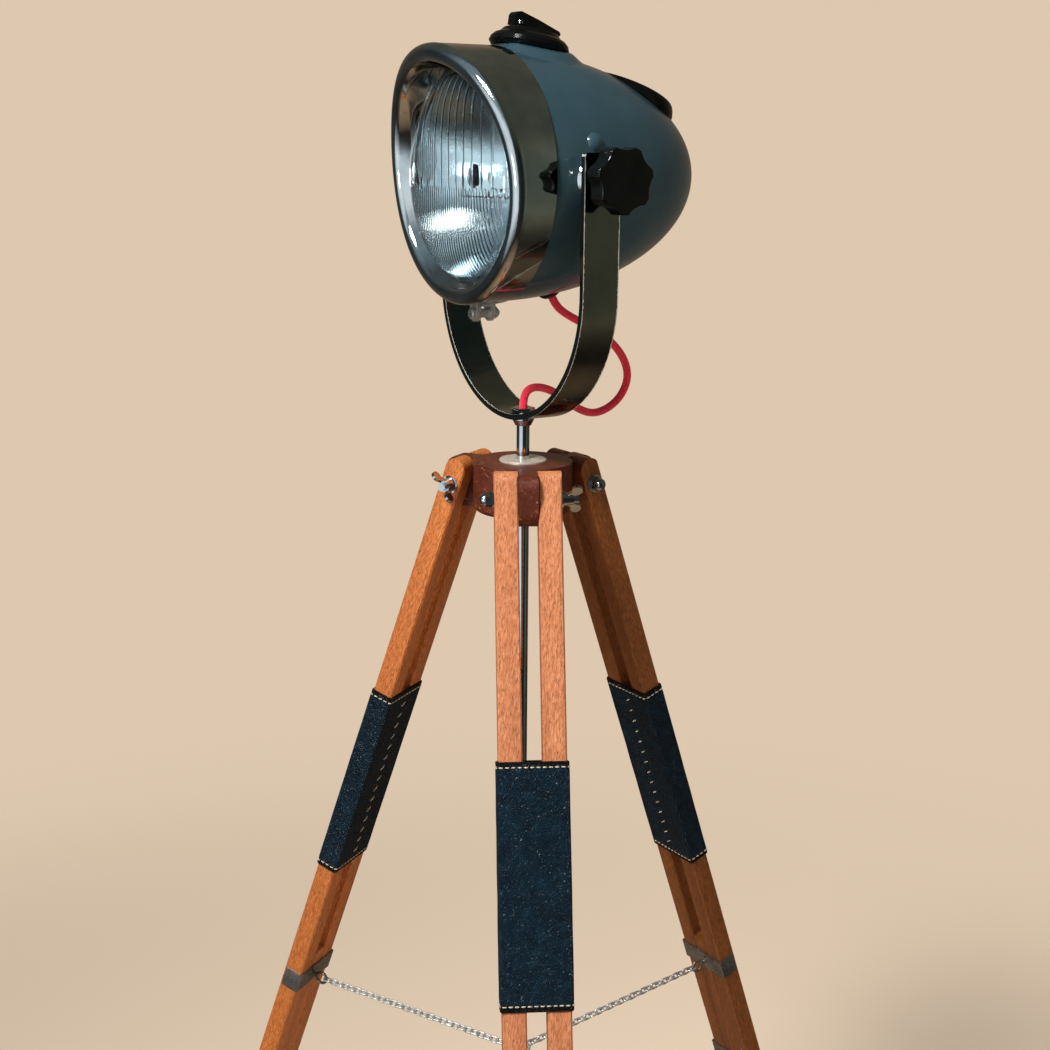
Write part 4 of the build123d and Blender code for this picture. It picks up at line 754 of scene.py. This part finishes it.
# painted highlight: a pale band along both edges of the strap, its width broken up by noise, less metallic
# there
highlight_breaks = spots(black_nickel, here(black_nickel), 420, 4, 0.7)
reach = calc(black_nickel, "MULTIPLY_ADD", highlight_breaks, 0.0024, -0.0005)
painted_edge_highlight = calc(black_nickel, "MULTIPLY", calc(black_nickel, "LESS_THAN", from_edge, reach),
                 calc(black_nickel, "GREATER_THAN", from_edge, 0.00003))
plating = black_nickel.node_tree.nodes["Principled BSDF"].inputs["Base Color"].links[0].from_socket
shade(black_nickel, {"Base Color": mixed(black_nickel, painted_edge_highlight, plating, EDGE_PAINTED_HIGHLIGHT),
                     "Metallic": calc(black_nickel, "MULTIPLY_ADD", painted_edge_highlight, -0.7, 1.0)})
dressed(black_nickel, "yoke")


# ---------------------------------------------------------------- shell
# A pressed steel bowl in blue-grey gloss enamel, with a raised collar pressed round the switch and
# painted plugs in its sides. A zinc-plated clamp and its screw draw the chrome rim tight on it.
enamel = finish("blue_grey_enamel")
cloud = spots(enamel, here(enamel), 26, 3)
peel = spots(enamel, here(enamel), 900, 2)
shade(enamel, {"Base Color": ramp(enamel, cloud, (0.3, tone(43, 66, 77)), (0.7, tone(51, 76, 87))),
               "Roughness": calc(enamel, "MULTIPLY_ADD", peel, 0.08, 0.16), "Specular IOR Level": 0.4,
               "Coat Weight": 0.5, "Coat Roughness": 0.05, "Normal": bumped(enamel, peel, 0.00002, 0.5)})
dressed(enamel, "head_shell", "side_plugs")
dressed(chrome, "rim")
dressed(zinc, "rim_clamp_bracket", "rim_clamp_screw")
SHELL_RADIUS, SHELL_DEPTH, MOUTH = 90, 172, 31
SWITCH_PLACE = Vector((-2.5, 0, 92.3))
SWITCH_TILT = radians(10)
COLLAR_IN, COLLAR_OUT, COLLAR_HIGH, COLLAR_THICK = 25.6, 40.5, 4.6, 1.2
COLLAR_RINGS, COLLAR_FADE = 16, 12


def shell_height(x, y):
    """Height of the shell's top over the tilt axis."""
    return sqrt(SHELL_RADIUS ** 2 * (1 - ((MOUTH - x) / SHELL_DEPTH) ** 2) - y * y)


def collar_shape():
    """A low swelling round the switch that dies away before the rim."""
    shape = bmesh.new()
    width = COLLAR_OUT - COLLAR_IN
    over = [(COLLAR_IN + width * ring / COLLAR_RINGS, 0) for ring in range(COLLAR_RINGS + 1)]
    under = [(radius, -COLLAR_THICK) for radius, _ in over[::-1]]
    for vertex in lathe(shape, [*over, *under, over[0]], count=120):
        share = (hypot(vertex.co.x, vertex.co.y) - COLLAR_IN) / width
        x, y = SWITCH_PLACE.x + vertex.co.x, vertex.co.y
        room_left = min(1, max(0, (MOUTH - 1 - x) / COLLAR_FADE))
        swell = 0.5 + 0.5 * cos(pi * min(1, max(0, (share - 0.25) / 0.75)))
        rise = COLLAR_HIGH * swell * room_left ** 2 * (3 - 2 * room_left)
        sunk = 0.25 * (share > 0.999) + 0.3 * (room_left < 0.02)
        height = shell_height(min(x, MOUTH), y) + rise - sunk
        vertex.co = (min(x, MOUTH - 0.2), y, height + vertex.co.z)
    return shape


in_head_frame = HEAD @ Matrix.Scale(0.001, 4)
collar = mesh_piece("pressed_collar", collar_shape(), enamel)
collar.data.transform(in_head_frame)
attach(collar, "head")


# ---------------------------------------------------------------- lens and lamp
# A domed moulded glass: upright flutes in its lower half, a fluted fan on one side, and thin curved
# ribs above, all on its inner face. Behind it are a silvered bowl and a bulb with a cap on a stalk.
glass = finish("clear_glass")
haze = spots(glass, here(glass), 120, 3)
shade(glass, {"Base Color": ramp(glass, haze, (0.2, (0.93, 0.96, 0.95)), (0.8, (0.98, 1, 0.99))),
              "Transmission Weight": 1.0, "IOR": 1.5, "Roughness": calc(glass, "MULTIPLY", haze, 0.03)})
dressed(glass, "lens", "instrument_glass", "bulb")
LENS_BACK, LENS_THICK = 50, 3
LENS_RADIUS, LENS_VIEW, LENS_CROWN = 77.8, 72.6, 16
LENS_COLUMNS, LENS_ROWS = 372, 64
FLUTE, FLUTE_DEEP = 3.2, 0.5
FLUTES_TOP, STEP_SPACING, STEP_DEEP = -9, 14.5, 0.25
FAN_PLACE, FAN_RADIUS, FAN_SHARE = Vector((-27, 12)), 15, 0.8
RIB_SPACING, RIB_HIGH, BORDER_HIGH = 10.5, 0.4, 0.5


def lens_dome(radius):
    """The glass rises steeply from its edge and is nearly flat over the middle."""
    return LENS_CROWN * (1 - min(1, radius / LENS_VIEW) ** 4) ** 0.6


def lens_relief(y, z):
    """Depth of the moulded pattern on the lens's inner face, inwards."""
    radius = hypot(y, z)
    if radius > LENS_VIEW - 4:
        return 0.0
    flutes = FLUTE_DEEP * abs(cos(pi * y / FLUTE))
    if z < FLUTES_TOP:
        steps = STEP_DEEP * exp(-(((z - FLUTES_TOP) % STEP_SPACING - 7) / 0.8) ** 2)
        return flutes + steps
    if (Vector((y, z)) - FAN_PLACE).length < FAN_RADIUS:
        return FAN_SHARE * flutes
    bend = y / sqrt(max(0.15, 1 - (z / 96) ** 2))
    ribs = RIB_HIGH * exp(-((bend % RIB_SPACING - RIB_SPACING / 2) / 0.7) ** 2)
    border = BORDER_HIGH * exp(-((z - FLUTES_TOP - 1) / 0.9) ** 2)
    return ribs + border


def lens_shape():
    """Two domed faces, the inner one moulded, joined round their edge."""
    shape = bmesh.new()
    for inside in (False, True):
        sheet = bmesh.ops.create_grid(shape, x_segments=LENS_COLUMNS, y_segments=LENS_ROWS, size=1)
        for vertex in sheet["verts"]:
            y = 0.9999 * LENS_RADIUS * vertex.co.x
            z = sqrt(LENS_RADIUS ** 2 - y * y) * vertex.co.y
            moulded = -lens_relief(y, z) if inside else LENS_THICK
            vertex.co = (LENS_BACK + lens_dome(hypot(y, z)) + moulded, y, z)
    bmesh.ops.bridge_loops(shape, edges=[edge for edge in shape.edges if edge.is_boundary])
    return shape


lens = mesh_piece("fluted_lens", lens_shape(), glass)
lens.data.transform(in_head_frame)
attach(lens, "head")
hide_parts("lens")
mirror = metal("mirror", tone(214, 232, 242), tone(228, 244, 252), 0.14, 0.1)
dressed(mirror, "reflector")
brass = metal("brass", tone(150, 116, 58), tone(196, 160, 92), 0.3, 0.15)
dressed(brass, "bulb_holder")
dressed(zinc, "reflector_clips")
black_paint = metal("black_paint", tone(16, 16, 17), tone(28, 28, 29), 0.3, 0.15, metallic=0.0)
dressed(black_paint, "bulb_shield")


# ---------------------------------------------------------------- switch and knobs
# A round bakelite switch on the shell's top, with a turning lever, a bright washer under its base
# and a small screw in the lever's side. Two lobed bakelite knobs clamp the head on its pivot bolts.
bakelite = metal("bakelite", tone(5, 6, 6), tone(13, 14, 14), 0.1, 0.08, metallic=0.0)
shade(bakelite, {"Specular IOR Level": 0.32})
dressed(bakelite, "switch_base", "switch_lever", "knob_left", "knob_right", "instrument_case")
dressed(chrome, "pivot_bolts")
SWITCH_FRAME = in_head_frame @ Matrix.Translation(SWITCH_PLACE) @ Matrix.Rotation(-SWITCH_TILT, 4, "Y")
WASHER_RADIUS, WASHER_THICK, WASHER_DROP = 26.3, 0.8, 4.6
washer_outline = [(WASHER_RADIUS + WASHER_THICK * cos(radians(angle)),
                   WASHER_THICK * sin(radians(angle)) - WASHER_DROP) for angle in range(0, 361, 30)]
washer_shape = bmesh.new()
lathe(washer_shape, washer_outline, count=96)
switch_washer = mesh_piece("switch_washer", washer_shape, chrome)
switch_washer.data.transform(SWITCH_FRAME)
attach(switch_washer, "head")
SCREW_PLACE = Vector((12.5, 4.9, 13.6))
SCREW_OUTLINE = ((0, 1.5), (0.9, 1.3), (1.7, 0.8), (2.1, 0), (2.1, -0.6), (0, -0.6))
screw_shape = bmesh.new()
lathe(screw_shape, SCREW_OUTLINE,
      Matrix.Translation(SCREW_PLACE) @ Matrix.Rotation(radians(-90), 4, "X"), 24)
lever_screw = mesh_piece("lever_screw", screw_shape, chrome)
lever_screw.data.transform(SWITCH_FRAME)
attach(lever_screw, "switch_lever")


# ---------------------------------------------------------------- instrument
# A speedometer in a bakelite case behind the switch: a matt black dial with pale ticks, numbers and
# a needle, under glass in a chrome ring. It reads upright from behind the lamp, clockwise.
face_paint = metal("dial_paint", tone(20, 20, 21), tone(34, 34, 35), 0.5, 0.1, metallic=0.0)
dressed(face_paint, "instrument_dial")
needle_paint = metal("needle_paint", tone(205, 200, 190), tone(228, 224, 214), 0.4, 0.1, metallic=0.0)
dressed(needle_paint, "instrument_needle")
DIAL_PLACE = Vector((-87, 0, 62.48))
DIAL_TILT = radians(22.3)
GLASS_RADIUS, GLASS_DROP, DIAL_DROP = 37.5, 2.5, 10.5
DIAL_FRAME = in_head_frame @ Matrix.Translation(DIAL_PLACE) @ Matrix.Rotation(-DIAL_TILT, 4, "Y")
# out from the glass's edge, and above the case's face: the bright ring, then the wall above the dial
RING_OUTLINE = ((0.2, -1.8), (0.1, -0.2), (-0.5, 0.2), (-1.4, 0), (-2.2, -1.4),
                (-2.4, -0.1 - GLASS_DROP), (0.2, -1.8))
WALL_OUTLINE = ((-0.1, -5), (-3.2, -5.4), (-4.2, -9.8), (-0.1, -9.8), (-0.1, -5))
rings_shape = bmesh.new()
for outline in (RING_OUTLINE, WALL_OUTLINE):
    lathe(rings_shape, [(GLASS_RADIUS + out, height) for out, height in outline], count=120)
dial_ring = mesh_piece("instrument_rings", rings_shape, chrome)
dial_ring.data.transform(DIAL_FRAME)
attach(dial_ring, "head")

SCALE_START, SCALE_STEP = 120, 30           # degrees, from the dial's forward side
NUMBERS, TICKS_EACH, SPEED_EACH = 9, 5, 20
TICK_OUTER, LONG_TICK, SHORT_TICK, NUMBERS_IN = 5.5, 11.5, 8.5, 15.5    # in from the glass's edge
ticks_shape = bmesh.new()
for index in range((NUMBERS - 1) * TICKS_EACH + 1):
    angle = radians(SCALE_START - index * SCALE_STEP / TICKS_EACH)
    long = index % TICKS_EACH == 0
    outer, inner = GLASS_RADIUS - TICK_OUTER, GLASS_RADIUS - (LONG_TICK if long else SHORT_TICK)
    size = Matrix.Diagonal((outer - inner, 1.1 if long else 0.6, 0.12, 1))
    bmesh.ops.create_cube(ticks_shape, size=1, matrix=(
        Matrix.Rotation(angle, 4, "Z") @ Matrix.Translation(((outer + inner) / 2, 0, 0.04)) @ size))
ticks = mesh_piece("dial_ticks", ticks_shape, needle_paint, smooth=False)
ticks.data.transform(DIAL_FRAME @ Matrix.Translation((0, 0, -DIAL_DROP)))
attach(ticks, "head")
for index in range(NUMBERS):
    angle = radians(SCALE_START - index * SCALE_STEP)
    words = bpy.data.curves.new(f"dial_number_{index}", "FONT")
    words.body = str(SPEED_EACH * index)
    words.align_x, words.align_y = "CENTER", "CENTER"
    words.size = 5.2
    words.extrude = 0.06
    written = link(bpy.data.objects.new(words.name, words))
    graph = bpy.context.evaluated_depsgraph_get()
    shape = bpy.data.meshes.new_from_object(written.evaluated_get(graph))
    bpy.data.objects.remove(written)
    shape.materials.clear()
    shape.materials.append(needle_paint)
    middle = Vector((cos(angle), sin(angle), 0)) * (GLASS_RADIUS - NUMBERS_IN)
    shape.transform(DIAL_FRAME @ Matrix.Translation((*middle.xy, words.extrude - DIAL_DROP))
                    @ Matrix.Rotation(radians(-90), 4, "Z"))
    numeral = link(bpy.data.objects.new(words.name, shape))
    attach(numeral, "head")
